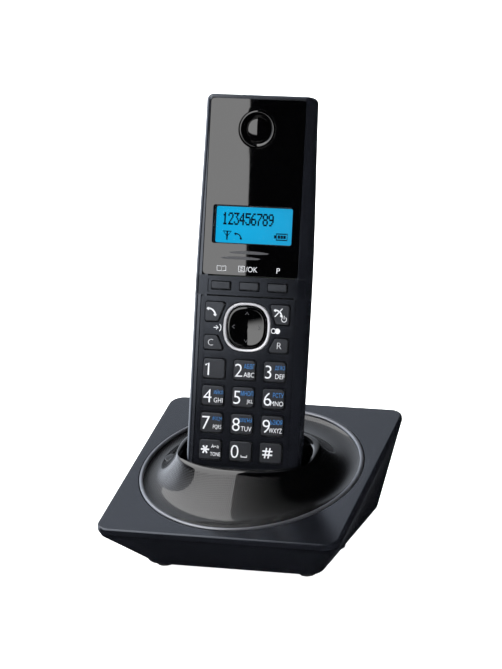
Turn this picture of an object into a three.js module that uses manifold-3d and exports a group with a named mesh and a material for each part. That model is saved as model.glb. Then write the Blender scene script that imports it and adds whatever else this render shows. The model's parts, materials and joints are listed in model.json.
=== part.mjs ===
// Cordless telephone resting in its charging base.
// Millimetres, +Z up, +X to the right seen from the keypad side, -Y towards the user.
// The origin is the middle of the whole object's box, on the table.
import * as THREE from "three";
import { ConvexGeometry } from "three/addons/geometries/ConvexGeometry.js";
import { LoftGeometry } from "three/addons/geometries/LoftGeometry.js";
import { mergeVertices } from "three/addons/utils/BufferGeometryUtils.js";
import Module from "manifold-3d";

const wasm = await Module();
wasm.setup();

// ---- driving dimensions -------------------------------------------------------------------

const GAP = 0.3; // clearance between neighbouring pieces

// base: a tilted square plate on a body that narrows to a smaller footprint
const PLATE_HALF_WIDTH = 51.2;
const PLATE_DEPTH = 103.4;
const PLATE_TILT = 13.24; // degrees, back edge higher
const PLATE_THICKNESS = 3;
const PLATE_CORNER = 5.5;
const PLATE_FRONT = { y: -53.2, z: 22.96 };
const FOOT_HALF_WIDTH = 37.75;
const FOOT_FRONT_Y = -33.9;
const FOOT_BACK_Y = 53.2;
const FOOT_CORNER = 6;
const BODY_BOTTOM = 1.7; // height of the body's underside, on its rubber feet
const BASE_WALL = 2.2;

// dish and cradle, in the plate's frame
const RING_OUTER = 46.4;
const RING_INNER = 44.5;
const RING_PROUD = 0.6;
const RING_SUNK = 0.8;
const RIM_HALF_WIDTH = 29.15;
const RIM_HALF_DEPTH = 17.8;
const RIM_EXPONENT = 2.3;
const RIM_CENTRE = -0.62; // along the slope
const RIM_HEIGHT = 9.24; // above the plate
const DISH_WALL = 1.9;
const WELL_WALL = 1.6;
const WELL_CORNER = 8;
const WELL_SIDE_GAP = 2.1;
const WELL_DEPTH_GAP = 0.95;
const ROUND_SEGMENTS = 48; // flats round the dish and its ring

// handset, in its own frame: X right, Y into the body from the keypad face, Z up the handset
const HANDSET_LEAN = 17.49; // degrees back from vertical
const HANDSET_ON_RIM = -12.19; // keypad face's place along the slope, level with the rim
const HANDSET_BOTTOM = -11;
const HANDSET_TOP = 150.5;
const HANDSET_HALF_WIDTH = 23.9;
const HANDSET_TOP_HALF_WIDTH = 22.9;
const TAPER_START = 70;
const FRONT_CORNER = 3;
const END_ROUND = 2.6; // rounding of the top and bottom edges
const SIDE_FLAT_TO = 6; // depth at which the rounded back begins
const BACK_EXPONENT = 2.2;
const BACK_DEPTHS = [ // height up the handset, depth of the back
  [-11, 20.4], [15, 22.2], [45, 25.6], [75, 27.4], [100, 27], [130, 24.6], [150.5, 22.4],
];
const CASE_WALL = 2;
const SPLIT_DEPTH = 9; // parting plane of the handset's front and rear cases

// face of the handset
const INSERT_THICKNESS = 1.8;
const INSERT_HALF_WIDTH = 20.5;
const COVER = { bottom: 76.6, top: 149 };
const BAND = { bottom: 68.4, top: 76.6 };
const PANEL_BOTTOM = -8.3;
const LEDGE_HALF_WIDTH = 18.6;
const LEDGE_THICKNESS = 1.5;
const EAR = { height: 136.5, radius: 7.95, dome: 4.5 };
const WINDOW = { halfWidth: 16.85, bottom: 89.8, top: 105.2, corner: 1 };
const NAV = { height: 56.05, outer: 9.95, inner: 8.6, cap: 8.25, exponent: 2.6 };
const DIGIT = { width: 9.35, height: 8.1, corner: 1.3, pitchX: 12.96, pitchZ: 10.99, firstZ: 38.54 };
const SOFT_KEY = { width: 8.1, height: 3.1, z: 72.5, x: 12.1, corner: 0.6 };
const KEY_PROUD = 0.8;
const KEY_BOTTOM = 1.7;
const KEY_CORNER = 1.1;
const KEY_CLEARANCE = 0.35;

// battery compartment
const DOOR = { halfWidth: 16, bottom: 20, top: 69, thickness: 1.5, travel: 4.5, minDepth: 17 };
const CELL = { radius: 5.2, length: 44.5, x: 6.4, y: 15.4, bottom: 22 };

// ---- materials ----------------------------------------------------------------------------

const finish = (color, roughness, metalness = 0) =>
  new THREE.MeshStandardMaterial({ color, roughness, metalness });
const matteBlack = finish(0x2a2c33, 0.5);
const glossBlack = finish(0x08080a, 0.06);
const keyGrey = finish(0x33353c, 0.55);
const silver = finish(0xc8cacc, 0.25, 0.9);
const rubber = finish(0x1a1a1c, 0.85);
const boardGreen = finish(0x1d5b36, 0.5);
const steel = finish(0xb9bcc0, 0.3, 1);
const screenBlue = finish(0x18a5e6, 0.3);
const clearPlastic = finish(0xbfd8e8, 0.05);
const cellSleeve = finish(0x3c8f5a, 0.4);
const magnetGrey = finish(0x55585e, 0.45, 0.6);

// ---- solids -------------------------------------------------------------------------------

function solid(geometry) {
  geometry.deleteAttribute("normal");
  geometry.deleteAttribute("uv");
  const merged = mergeVertices(geometry, 1e-4);
  const mesh = new wasm.Mesh({
    numProp: 3,
    vertProperties: merged.attributes.position.array,
    triVerts: new Uint32Array(merged.index.array),
  });
  return new wasm.Manifold(mesh);
}

// solid of revolution about Y from (radius, y) pairs that run up the outside
function turned(profile, segments) {
  return new THREE.LatheGeometry(profile.map(([r, y]) => new THREE.Vector2(r, y)), segments);
}

function geometryOf(body) {
  const mesh = body.getMesh();
  const geometry = new THREE.BufferGeometry();
  geometry.setAttribute("position", new THREE.BufferAttribute(new Float32Array(mesh.vertProperties), 3));
  geometry.setIndex(new THREE.BufferAttribute(new Uint32Array(mesh.triVerts), 1));
  geometry.computeVertexNormals();
  return geometry;
}

// extrusion of a shape drawn in X and Z, from one depth to a deeper one along +Y
function plateSolid(shape, nearY, farY, edge = 0) {
  const geometry = new THREE.ExtrudeGeometry(shape, {
    depth: farY - nearY - 2 * edge,
    curveSegments: 3,
    bevelEnabled: edge > 0,
    bevelThickness: edge,
    bevelSize: edge,
    bevelOffset: -edge,
    bevelSegments: 1,
  });
  geometry.rotateX(Math.PI / 2);
  geometry.translate(0, farY - edge, 0);
  return solid(geometry);
}

// extrusion of a shape drawn in X and Y, from one height to another along +Z
function columnSolid(shape, lowZ, highZ, edge = 0) {
  const geometry = new THREE.ExtrudeGeometry(shape, {
    depth: highZ - lowZ - 2 * edge,
    curveSegments: 4,
    bevelEnabled: edge > 0,
    bevelThickness: edge,
    bevelSize: edge,
    bevelOffset: -edge,
    bevelSegments: 2,
  });
  geometry.translate(0, 0, lowZ + edge);
  return solid(geometry);
}

function boxSolid(low, high) {
  const geometry = new THREE.BoxGeometry(high[0] - low[0], high[1] - low[1], high[2] - low[2]);
  geometry.translate((low[0] + high[0]) / 2, (low[1] + high[1]) / 2, (low[2] + high[2]) / 2);
  return solid(geometry);
}

// cylinder from one end point to another along Y ("y") or Z ("z")
function rodSolid(radius, centre, length, axis, segments = 24) {
  const geometry = new THREE.CylinderGeometry(radius, radius, length, segments);
  if (axis === "z") geometry.rotateX(Math.PI / 2);
  geometry.translate(...centre);
  return solid(geometry);
}

// ---- outlines -----------------------------------------------------------------------------

function roundedPolygon(corners, radius) {
  const shape = new THREE.Shape();
  corners.forEach((corner, i) => {
    const before = corners[(i + corners.length - 1) % corners.length];
    const after = corners[(i + 1) % corners.length];
    const start = corner.clone().add(before.clone().sub(corner).setLength(radius));
    const end = corner.clone().add(after.clone().sub(corner).setLength(radius));
    if (i === 0) shape.moveTo(start.x, start.y);
    else shape.lineTo(start.x, start.y);
    shape.quadraticCurveTo(corner.x, corner.y, end.x, end.y);
  });
  shape.closePath();
  return shape;
}

// a counterclockwise polygon moved outwards by a distance
function grown(corners, distance) {
  return corners.map((corner, i) => {
    const before = corners[(i + corners.length - 1) % corners.length];
    const after = corners[(i + 1) % corners.length];
    const into = corner.clone().sub(before).normalize();
    const out = after.clone().sub(corner).normalize();
    const turn = into.cross(out);
    const shift = out.clone().sub(into).multiplyScalar(-distance / turn);
    return corner.clone().add(shift);
  });
}

function rectangle(halfX, low, high, centreX = 0) {
  return [
    new THREE.Vector2(centreX - halfX, low),
    new THREE.Vector2(centreX + halfX, low),
    new THREE.Vector2(centreX + halfX, high),
    new THREE.Vector2(centreX - halfX, high),
  ];
}

const roundedRectangle = (halfX, low, high, radius, centreX = 0) =>
  roundedPolygon(rectangle(halfX, low, high, centreX), radius);

function superellipse(halfX, halfY, exponent, centreY = 0, count = 28) {
  const points = [];
  for (let i = 0; i < count; i += 1) {
    const angle = (i / count) * 2 * Math.PI;
    const c = Math.cos(angle);
    const s = Math.sin(angle);
    const reach = (Math.abs(c / halfX) ** exponent + Math.abs(s / halfY) ** exponent) ** (-1 / exponent);
    points.push(new THREE.Vector2(reach * c, centreY + reach * s));
  }
  return new THREE.Shape(points);
}

// ---- handset body -------------------------------------------------------------------------

const smooth = (t) => t * t * (3 - 2 * t);

function halfWidthAt(z) {
  const t = THREE.MathUtils.clamp((z - TAPER_START) / (HANDSET_TOP - TAPER_START), 0, 1);
  return HANDSET_HALF_WIDTH + (HANDSET_TOP_HALF_WIDTH - HANDSET_HALF_WIDTH) * smooth(t);
}

const backCurve = new THREE.SplineCurve(BACK_DEPTHS.map(([z, depth]) => new THREE.Vector2(z, depth)));

function backDepthAt(z) {
  const last = BACK_DEPTHS.length - 1;
  let i = 0;
  while (i < last - 1 && z > BACK_DEPTHS[i + 1][0]) i += 1;
  const t = (z - BACK_DEPTHS[i][0]) / (BACK_DEPTHS[i + 1][0] - BACK_DEPTHS[i][0]);
  return backCurve.getPoint((i + THREE.MathUtils.clamp(t, 0, 1)) / last).y;
}

// closed outline of the handset across its length, moved in by inset
function handsetSection(z, inset) {
  const half = halfWidthAt(z) - inset;
  const depth = backDepthAt(z) - inset;
  const corner = Math.max(FRONT_CORNER - inset, 0.5);
  const sideEnd = Math.max(SIDE_FLAT_TO, inset + corner + 0.2);
  const right = [];
  for (let i = 0; i <= 3; i += 1) {
    const angle = (i / 3) * (Math.PI / 2);
    right.push([half - corner + corner * Math.sin(angle), inset + corner - corner * Math.cos(angle)]);
  }
  for (let i = 0; i <= 6; i += 1) {
    const angle = (i / 6) * (Math.PI / 2);
    const x = half * Math.cos(angle) ** (2 / BACK_EXPONENT);
    const y = sideEnd + (depth - sideEnd) * Math.sin(angle) ** (2 / BACK_EXPONENT);
    right.push([x, y]);
  }
  const left = right.slice(0, -1).reverse().map(([x, y]) => [-x, y]);
  return [...right, ...left].map(([x, y]) => new THREE.Vector3(x, y, z));
}

// solid handset, every wall moved in by inset, its end edges rounded
function handsetBody(inset) {
  const low = HANDSET_BOTTOM + inset;
  const high = HANDSET_TOP - inset;
  const round = Math.max(END_ROUND - inset, 0.4);
  const quarter = [0, 30, 60, 90].map((degrees) => {
    const angle = THREE.MathUtils.degToRad(degrees);
    return { fromEnd: round * (1 - Math.sin(angle)), shrink: round * (1 - Math.cos(angle)) };
  });
  const bottomEnd = quarter.toReversed().map(({ fromEnd, shrink }) => [low + fromEnd, shrink]);
  const topEnd = quarter.map(({ fromEnd, shrink }) => [high - fromEnd, shrink]);
  const rows = 9;
  const middle = [];
  for (let i = 1; i < rows; i += 1) {
    middle.push([low + round + ((high - low - 2 * round) * i) / rows, 0]);
  }
  const sections = [...bottomEnd, ...middle, ...topEnd].map(([z, shrink]) => handsetSection(z, inset + shrink));
  return solid(new LoftGeometry(sections, { capStart: true, capEnd: true }));
}

// ---- frames -------------------------------------------------------------------------------

const tilt = THREE.MathUtils.degToRad(PLATE_TILT);
const lean = THREE.MathUtils.degToRad(HANDSET_LEAN);

const plateGroup = new THREE.Group();
plateGroup.position.set(
  0,
  PLATE_FRONT.y + (PLATE_DEPTH / 2) * Math.cos(tilt),
  PLATE_FRONT.z + (PLATE_DEPTH / 2) * Math.sin(tilt),
);
plateGroup.rotation.x = tilt;
plateGroup.updateMatrixWorld(true);

const handsetOrigin = new THREE.Vector3(0, HANDSET_ON_RIM, RIM_HEIGHT).applyMatrix4(plateGroup.matrixWorld);
const handsetGroup = new THREE.Group();
handsetGroup.position.copy(handsetOrigin);
handsetGroup.rotation.x = -lean;
handsetGroup.updateMatrixWorld(true);

// fixed pieces of the well that line up with the handset
const wellGroup = new THREE.Group();
wellGroup.position.copy(handsetOrigin);
wellGroup.rotation.x = -lean;

const phone = new THREE.Group();
phone.add(plateGroup, handsetGroup, wellGroup);

function add(group, name, body, material) {
  const mesh = new THREE.Mesh(geometryOf(body), material);
  mesh.name = name;
  group.add(mesh);
}

// ---- handset: cases and inserts -----------------------------------------------------------

const outerBody = handsetBody(0);
const innerBody = handsetBody(CASE_WALL);
const FAR = 60; // beyond every wall, for cutting boxes

function frontCase() {
  const front = outerBody.intersect(boxSolid([-FAR, -1, -FAR], [FAR, SPLIT_DEPTH, 3 * FAR]));
  const ledgeBack = INSERT_THICKNESS + GAP + LEDGE_THICKNESS;
  const cavity = innerBody.intersect(boxSolid([-FAR, ledgeBack, -FAR], [FAR, SPLIT_DEPTH + 1, 3 * FAR]));
  const recess = plateSolid(
    roundedRectangle(INSERT_HALF_WIDTH, PANEL_BOTTOM, COVER.top, 1.6), -1, INSERT_THICKNESS + GAP,
  );
  const bandSlot = boxSolid([-FAR, -1, BAND.bottom], [FAR, INSERT_THICKNESS + GAP, BAND.top]);
  const opening = plateSolid(
    roundedRectangle(LEDGE_HALF_WIDTH, PANEL_BOTTOM + 3, COVER.top - 2, 2), 0, SPLIT_DEPTH,
  );
  return front.subtract(cavity).subtract(recess).subtract(bandSlot).subtract(opening);
}

function displayCover() {
  const sheet = plateSolid(
    roundedRectangle(INSERT_HALF_WIDTH - GAP, COVER.bottom + GAP, COVER.top - GAP, 1.4), 0, INSERT_THICKNESS,
  );
  const windowHole = plateSolid(
    roundedRectangle(WINDOW.halfWidth + GAP, WINDOW.bottom - GAP, WINDOW.top + GAP, WINDOW.corner), -1, 3,
  );
  const earHole = rodSolid(EAR.radius, [0, 0, EAR.height], 6, "y", 28);
  return sheet.subtract(windowHole).subtract(earHole);
}

function softKeyBand() {
  const slice = boxSolid([-FAR, -1, BAND.bottom + GAP], [FAR, INSERT_THICKNESS, BAND.top - GAP]);
  const trough = plateSolid(roundedRectangle(17.75, 69.6, 75.3, 0.8), -1, 0.45);
  let band = outerBody.intersect(slice).subtract(trough);
  for (const side of [-1, 0, 1]) band = band.subtract(softKeyHole(side * SOFT_KEY.x));
  return band;
}

function softKeyShape(x, growth) {
  const halfHeight = SOFT_KEY.height / 2 + growth;
  return roundedRectangle(
    SOFT_KEY.width / 2 + growth, SOFT_KEY.z - halfHeight, SOFT_KEY.z + halfHeight, SOFT_KEY.corner, x,
  );
}

const softKeyHole = (x) => plateSolid(softKeyShape(x, KEY_CLEARANCE), -1, 3);

function earpieceDome() {
  const outer = EAR.radius - KEY_CLEARANCE;
  const geometry = turned([
    [0, 0.25], [EAR.dome * 0.35, 0.3], [EAR.dome * 0.7, 0.5], [EAR.dome, 1],
    [EAR.dome + 0.6, 1.3], [outer, 1.1], [outer, 1.8], [0, 1.8],
  ], 28);
  geometry.translate(0, 0, EAR.height);
  return solid(geometry);
}

// ---- handset: keys ------------------------------------------------------------------------

const vectors = (pairs) => pairs.map(([x, z]) => new THREE.Vector2(x, z));
const mirrored = (corners) => corners.map((c) => new THREE.Vector2(-c.x, c.y)).reverse();

const talkCorners = vectors([[-18, 57.6], [-12.3, 57.8], [-9.3, 65.7], [-18, 65.7]]);
const clearCorners = vectors([[-18, 46.2], [-9.3, 46.2], [-12.3, 52.1], [-18, 52.1]]);

const keyOutlines = [
  ["talk_key", talkCorners, KEY_CORNER],
  ["off_key", mirrored(talkCorners), KEY_CORNER],
  ["clear_key", clearCorners, KEY_CORNER],
  ["recall_key", mirrored(clearCorners), KEY_CORNER],
];
const digitNames = [
  ["key_1", "key_2", "key_3"],
  ["key_4", "key_5", "key_6"],
  ["key_7", "key_8", "key_9"],
  ["key_star", "key_0", "key_hash"],
];
digitNames.forEach((row, i) => {
  const z = DIGIT.firstZ - i * DIGIT.pitchZ;
  row.forEach((name, j) => {
    const x = (j - 1) * DIGIT.pitchX;
    const corners = rectangle(DIGIT.width / 2, z - DIGIT.height / 2, z + DIGIT.height / 2, x);
    keyOutlines.push([name, corners, DIGIT.corner]);
  });
});

function keypadPanel() {
  let panel = plateSolid(
    roundedRectangle(INSERT_HALF_WIDTH - GAP, PANEL_BOTTOM + GAP, BAND.bottom - GAP, 0.8), 0, INSERT_THICKNESS,
  );
  for (const [, corners, radius] of keyOutlines) {
    panel = panel.subtract(plateSolid(roundedPolygon(grown(corners, KEY_CLEARANCE), radius), -1, 3));
  }
  const navHole = superellipse(NAV.outer + GAP, NAV.outer + GAP, NAV.exponent, NAV.height);
  return panel.subtract(plateSolid(navHole, -1, 3));
}

function navigatorRing() {
  const shape = superellipse(NAV.outer, NAV.outer, NAV.exponent, NAV.height);
  shape.holes.push(superellipse(NAV.inner, NAV.inner, NAV.exponent, NAV.height));
  return plateSolid(shape, -0.9, INSERT_THICKNESS, 0.3);
}

const navigatorCap = () =>
  plateSolid(superellipse(NAV.cap, NAV.cap, NAV.exponent, NAV.height), -0.7, 0.7, 0.3);

const navigatorPad = () => rodSolid(6.5, [0, 1.7, NAV.height], 1.2, "y", 24);

// ---- handset: inside ----------------------------------------------------------------------

const keypadMat = () =>
  plateSolid(roundedRectangle(LEDGE_HALF_WIDTH - GAP, -4, 75.8, 2), 2.9, 4.9);

const lcdModule = () => plateSolid(roundedRectangle(18, 86.5, 108.5, 0.8), 2.4, 4.9);

const handsetBoard = () => plateSolid(roundedRectangle(19.5, -6, 145, 2), 5.3, 6.8);

function speaker(radius, nearY, farY, z) {
  const step = (farY - nearY) * 0.45;
  const magnet = radius * 0.55;
  const geometry = turned([
    [0, nearY], [radius, nearY], [radius, nearY + step], [magnet, nearY + step], [magnet, farY], [0, farY],
  ], 20);
  geometry.translate(0, 0, z);
  return solid(geometry);
}

const batteryCell = (side) =>
  rodSolid(CELL.radius, [side * CELL.x, CELL.y, CELL.bottom + CELL.length / 2], CELL.length, "z", 20);

// spring plate bridging the two cells at their upper ends
function batteryContacts() {
  const z = CELL.bottom + CELL.length + GAP;
  return boxSolid([-10.5, 11.5, z], [10.5, 19, z + 0.5]);
}

// ---- handset: rear case and battery door --------------------------------------------------

const doorReach = (growth) =>
  boxSolid(
    [-DOOR.halfWidth - growth, DOOR.minDepth - growth, DOOR.bottom - growth],
    [DOOR.halfWidth + growth, FAR, DOOR.top + growth],
  );

const batteryDoor = () => outerBody.subtract(handsetBody(DOOR.thickness)).intersect(doorReach(0));

function screwPost(x, z) {
  const post = rodSolid(3.6, [x, 17, z], 15, "y");
  return post.intersect(handsetBody(0.6));
}

const SCREWS = { x: 13, z: 128, headY: 19.2 };

function rearCase() {
  const stepDepth = DOOR.thickness + GAP;
  let body = outerBody.subtract(innerBody);
  const doorSlot = doorReach(GAP).add(
    boxSolid([-DOOR.halfWidth - GAP, DOOR.minDepth, DOOR.bottom - DOOR.travel - GAP], [DOOR.halfWidth + GAP, FAR, DOOR.top]),
  );
  body = body.subtract(doorSlot);
  // thumb step below the door, set in so that the sliding door passes over it
  const step = handsetBody(stepDepth).subtract(handsetBody(stepDepth + CASE_WALL));
  const stepReach = boxSolid([-DOOR.halfWidth - 3, DOOR.minDepth - 3, 11], [DOOR.halfWidth + 3, FAR, DOOR.bottom + 1.5]);
  body = body.add(step.intersect(stepReach));
  for (const side of [-1, 1]) body = body.add(screwPost(side * SCREWS.x, SCREWS.z));
  body = body.intersect(boxSolid([-FAR, SPLIT_DEPTH + GAP, -FAR], [FAR, FAR, 3 * FAR]));
  for (const side of [-1, 1]) {
    body = body.subtract(rodSolid(2.9, [side * SCREWS.x, SCREWS.headY + 10, SCREWS.z], 20, "y"));
    body = body.subtract(rodSolid(1.4, [side * SCREWS.x, 15, SCREWS.z], 14, "y", 12));
    body = body.subtract(boxSolid([side * 12 - 2.8, 9.9, -12], [side * 12 + 2.8, 15, HANDSET_BOTTOM + 1]));
  }
  // sound slots of the ringer
  for (const z of [108, 112, 116]) {
    body = body.subtract(plateSolid(roundedRectangle(7, z - 0.7, z + 0.7, 0.6), 15, 40));
  }
  return body;
}

function caseScrew(side) {
  const y = SCREWS.headY;
  const geometry = turned([
    [0, y - 7.5], [1.1, y - 7.5], [1.1, y + GAP], [2.5, y + GAP], [2.5, y + 1.6], [0, y + 1.9],
  ], 16);
  geometry.translate(side * SCREWS.x, 0, SCREWS.z);
  return solid(geometry);
}

const chargeContact = (side) =>
  boxSolid([side * 12 - 2.5, 10.2, HANDSET_BOTTOM], [side * 12 + 2.5, 14.7, HANDSET_BOTTOM + 0.7]);

// ---- base: cover, dish, ring --------------------------------------------------------------

const plateOutline = (shrink) =>
  roundedRectangle(
    PLATE_HALF_WIDTH - shrink, -PLATE_DEPTH / 2 + shrink, PLATE_DEPTH / 2 - shrink, PLATE_CORNER - shrink / 2,
  );

function topCover() {
  const plate = columnSolid(plateOutline(0), -PLATE_THICKNESS, 0, 0.9);
  const hole = rodSolid(RING_INNER, [0, 0, 0], 20, "z", ROUND_SEGMENTS);
  const rebate = rodSolid(RING_OUTER + GAP, [0, 0, 10 - RING_SUNK - GAP], 20, "z", ROUND_SEGMENTS);
  return plate.subtract(hole).subtract(rebate);
}

function trimRing() {
  const shoulder = RING_PROUD * 0.5;
  const geometry = turned([
    [RING_INNER, -RING_SUNK], [RING_OUTER, -RING_SUNK], [RING_OUTER, shoulder],
    [RING_OUTER - 0.5, RING_PROUD], [RING_INNER + 0.5, RING_PROUD],
    [RING_INNER, shoulder], [RING_INNER, -RING_SUNK],
  ], ROUND_SEGMENTS);
  geometry.rotateX(Math.PI / 2);
  return solid(geometry);
}

const DISH_EDGE = RING_INNER - GAP;
const DISH_PROFILE = [ // share of the way from the rim to the edge, height above the plate
  [0, RIM_HEIGHT], [0.03, 8.1], [0.09, 6.5], [0.19, 4.3], [0.33, 2.1],
  [0.5, 0.2], [0.68, -0.95], [0.84, -1.3], [1, -0.3],
];

function dishRing(share, height) {
  const ring = [];
  const count = ROUND_SEGMENTS;
  for (let i = 0; i < count; i += 1) {
    const angle = (i / count) * 2 * Math.PI;
    const c = Math.cos(angle);
    const s = Math.sin(angle);
    const sum = Math.abs(c / RIM_HALF_WIDTH) ** RIM_EXPONENT + Math.abs(s / RIM_HALF_DEPTH) ** RIM_EXPONENT;
    const rim = new THREE.Vector2(c, s).multiplyScalar(sum ** (-1 / RIM_EXPONENT));
    rim.y += RIM_CENTRE;
    const edge = new THREE.Vector2(c, s).multiplyScalar(DISH_EDGE);
    const point = rim.lerp(edge, share);
    ring.push(new THREE.Vector3(point.x, point.y, height));
  }
  return ring;
}

// everything under the dish's upper surface
function dishEnvelope(drop, shareShift) {
  const upper = DISH_PROFILE.map(([share, height]) => dishRing(share - shareShift, height - drop)).reverse();
  const sections = [dishRing(1 - shareShift, -50), ...upper];
  return solid(new LoftGeometry(sections, { capStart: true, capEnd: true }));
}

function wellPrism(growth, floor) {
  const half = HANDSET_HALF_WIDTH + WELL_SIDE_GAP + growth;
  const front = -WELL_DEPTH_GAP - growth;
  const back = backDepthAt(15) + WELL_DEPTH_GAP + growth;
  const geometry = new THREE.ExtrudeGeometry(roundedRectangle(half, front, back, WELL_CORNER + growth), {
    depth: 40,
    curveSegments: 5,
    bevelEnabled: false,
  });
  geometry.translate(0, 0, floor);
  geometry.applyMatrix4(handsetGroup.matrixWorld);
  geometry.applyMatrix4(plateGroup.matrixWorld.clone().invert());
  return solid(geometry);
}

const BUTTON = { x: -35.4, s: 3, radius: 3.2 };
const TERMINAL = { x: 12, y: 12.4, halfX: 1.2, halfY: 1.8 };
const WELL_FLOOR = HANDSET_BOTTOM - GAP;

function cradleDish() {
  const envelope = dishEnvelope(0, 0);
  const shell = envelope
    .subtract(dishEnvelope(DISH_WALL, 0.035))
    .subtract(boxSolid([-FAR, -FAR, -60], [FAR, FAR, -1.3 - DISH_WALL]));
  const well = wellPrism(WELL_WALL, WELL_FLOOR - 1.8).intersect(envelope);
  const rimPlate = envelope.intersect(boxSolid([-FAR, -FAR, RIM_HEIGHT - 2.4], [FAR, FAR, FAR]));
  let dish = shell.add(well).add(rimPlate).subtract(wellPrism(0, WELL_FLOOR));
  dish = dish.subtract(rodSolid(BUTTON.radius + GAP, [BUTTON.x, BUTTON.s, 0], 12, "z", 20));
  for (const side of [-1, 1]) dish = dish.subtract(terminalSlot(side));
  return dish;
}

function terminalBlock(side, growth, lowZ, highZ) {
  const { x, y, halfX, halfY } = TERMINAL;
  const geometry = new THREE.BoxGeometry(2 * (halfX + growth), 2 * (halfY + growth), highZ - lowZ);
  geometry.translate(side * x, y, (lowZ + highZ) / 2);
  return geometry;
}

function terminalSlot(side) {
  const geometry = terminalBlock(side, GAP, WELL_FLOOR - 5, WELL_FLOOR + 1);
  geometry.applyMatrix4(handsetGroup.matrixWorld);
  geometry.applyMatrix4(plateGroup.matrixWorld.clone().invert());
  return solid(geometry);
}

const chargeTerminal = (side) => solid(terminalBlock(side, 0, WELL_FLOOR - 6, WELL_FLOOR));

const locatorButton = () => {
  const shape = new THREE.Shape().absarc(BUTTON.x, BUTTON.s, BUTTON.radius, 0, 2 * Math.PI);
  return columnSolid(shape, -2.2, 1.5, 0.4);
};

// ---- base: bottom case and what it holds --------------------------------------------------

const CASE_TOP = -PLATE_THICKNESS - GAP; // in the plate's frame

function outlinePoints(shape, height, matrix) {
  const points = shape.getPoints(5).map((p) => new THREE.Vector3(p.x, p.y, height));
  return matrix ? points.map((p) => p.applyMatrix4(matrix)) : points;
}

const footprint = (shrink) =>
  roundedRectangle(FOOT_HALF_WIDTH - shrink, FOOT_FRONT_Y + shrink, FOOT_BACK_Y - shrink, FOOT_CORNER - shrink / 2);

function taperedBody(shrink, topHeight, bottomHeight) {
  const top = outlinePoints(plateOutline(0.7 + shrink), topHeight, plateGroup.matrixWorld);
  const bottom = outlinePoints(footprint(shrink), bottomHeight);
  return solid(new ConvexGeometry([...top, ...bottom]));
}

const JACK = { y0: 37, y1: 50, z0: 8.3, width: 12, height: 11, cornerGap: 0.4 };
const DC_X = -14;
const LINE_X = 14;
const FEET = [
  ["front", 30.5, -27.5], ["middle", 33.2, 4.5], ["rear", 31.5, 46],
];
const FOOT_RADIUS = 3.4;
const FOOT_HEIGHT = 2.1;

function bottomCase() {
  let body = taperedBody(0, CASE_TOP, BODY_BOTTOM);
  body = body.subtract(taperedBody(BASE_WALL, CASE_TOP + 6, BODY_BOTTOM + BASE_WALL));
  for (const x of [DC_X, LINE_X]) {
    const half = JACK.width / 2 + JACK.cornerGap;
    const low = [x - half, JACK.y0, JACK.z0 - JACK.cornerGap];
    body = body.subtract(boxSolid(low, [x + half, FAR, JACK.z0 + JACK.height + JACK.cornerGap]));
  }
  for (const [, x, y] of FEET) {
    for (const side of [-1, 1]) {
      body = body.subtract(rodSolid(FOOT_RADIUS + GAP, [side * x, y, FOOT_HEIGHT + GAP - 5], 10, "z"));
    }
  }
  return body;
}

const baseBoard = () => columnSolid(roundedRectangle(30, 2, 48, 2), 6.4, 8);

function jackBlock(x) {
  return boxSolid([x - JACK.width / 2, JACK.y0, JACK.z0], [x + JACK.width / 2, JACK.y1, JACK.z0 + JACK.height]);
}

function dcJack() {
  const z = JACK.z0 + JACK.height / 2;
  const bore = rodSolid(3, [DC_X, JACK.y1, z], 18, "y", 24);
  const pin = rodSolid(0.8, [DC_X, JACK.y1 - 5.4, z], 9, "y", 12);
  return jackBlock(DC_X).subtract(bore).add(pin);
}

function lineJack() {
  const z = JACK.z0 + JACK.height / 2;
  const mouth = boxSolid([LINE_X - 3.6, JACK.y1 - 9.5, z - 3.2], [LINE_X + 3.6, FAR, z + 3.2]);
  const keyway = boxSolid([LINE_X - 1.8, JACK.y1 - 9.5, z - 4.6], [LINE_X + 1.8, FAR, z]);
  return jackBlock(LINE_X).subtract(mouth).subtract(keyway);
}

// ---- assembly -----------------------------------------------------------------------------

add(plateGroup, "base_top_cover", topCover(), matteBlack);
add(plateGroup, "cradle_dish", cradleDish(), glossBlack);
add(plateGroup, "dish_trim_ring", trimRing(), silver);
add(plateGroup, "locator_button", locatorButton(), glossBlack);

add(phone, "base_bottom_case", bottomCase(), matteBlack);
add(phone, "base_board", baseBoard(), boardGreen);
add(phone, "dc_jack", dcJack(), matteBlack);
add(phone, "line_jack", lineJack(), matteBlack);
for (const [place, x, y] of FEET) {
  for (const [hand, side] of [["left", -1], ["right", 1]]) {
    const foot = rodSolid(FOOT_RADIUS, [side * x, y, FOOT_HEIGHT / 2], FOOT_HEIGHT, "z");
    add(phone, `foot_${place}_${hand}`, foot, rubber);
  }
}
add(wellGroup, "charge_terminal_left", chargeTerminal(-1), steel);
add(wellGroup, "charge_terminal_right", chargeTerminal(1), steel);

add(handsetGroup, "handset_front_case", frontCase(), matteBlack);
add(handsetGroup, "handset_rear_case", rearCase(), matteBlack);
add(handsetGroup, "battery_door", batteryDoor(), matteBlack);
add(handsetGroup, "display_cover", displayCover(), glossBlack);
add(
  handsetGroup, "display_window",
  plateSolid(roundedRectangle(WINDOW.halfWidth, WINDOW.bottom, WINDOW.top, WINDOW.corner), 0, 1.2), clearPlastic,
);
add(handsetGroup, "soft_key_band", softKeyBand(), matteBlack);
add(handsetGroup, "keypad_panel", keypadPanel(), matteBlack);
add(handsetGroup, "earpiece_dome", earpieceDome(), glossBlack);
add(handsetGroup, "earpiece_speaker", speaker(6.5, 2.3, 4.9, EAR.height), magnetGrey);
add(handsetGroup, "lcd_module", lcdModule(), screenBlue);
add(handsetGroup, "keypad_mat", keypadMat(), rubber);
add(handsetGroup, "handset_board", handsetBoard(), boardGreen);
add(handsetGroup, "navigator_ring", navigatorRing(), silver);
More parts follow.
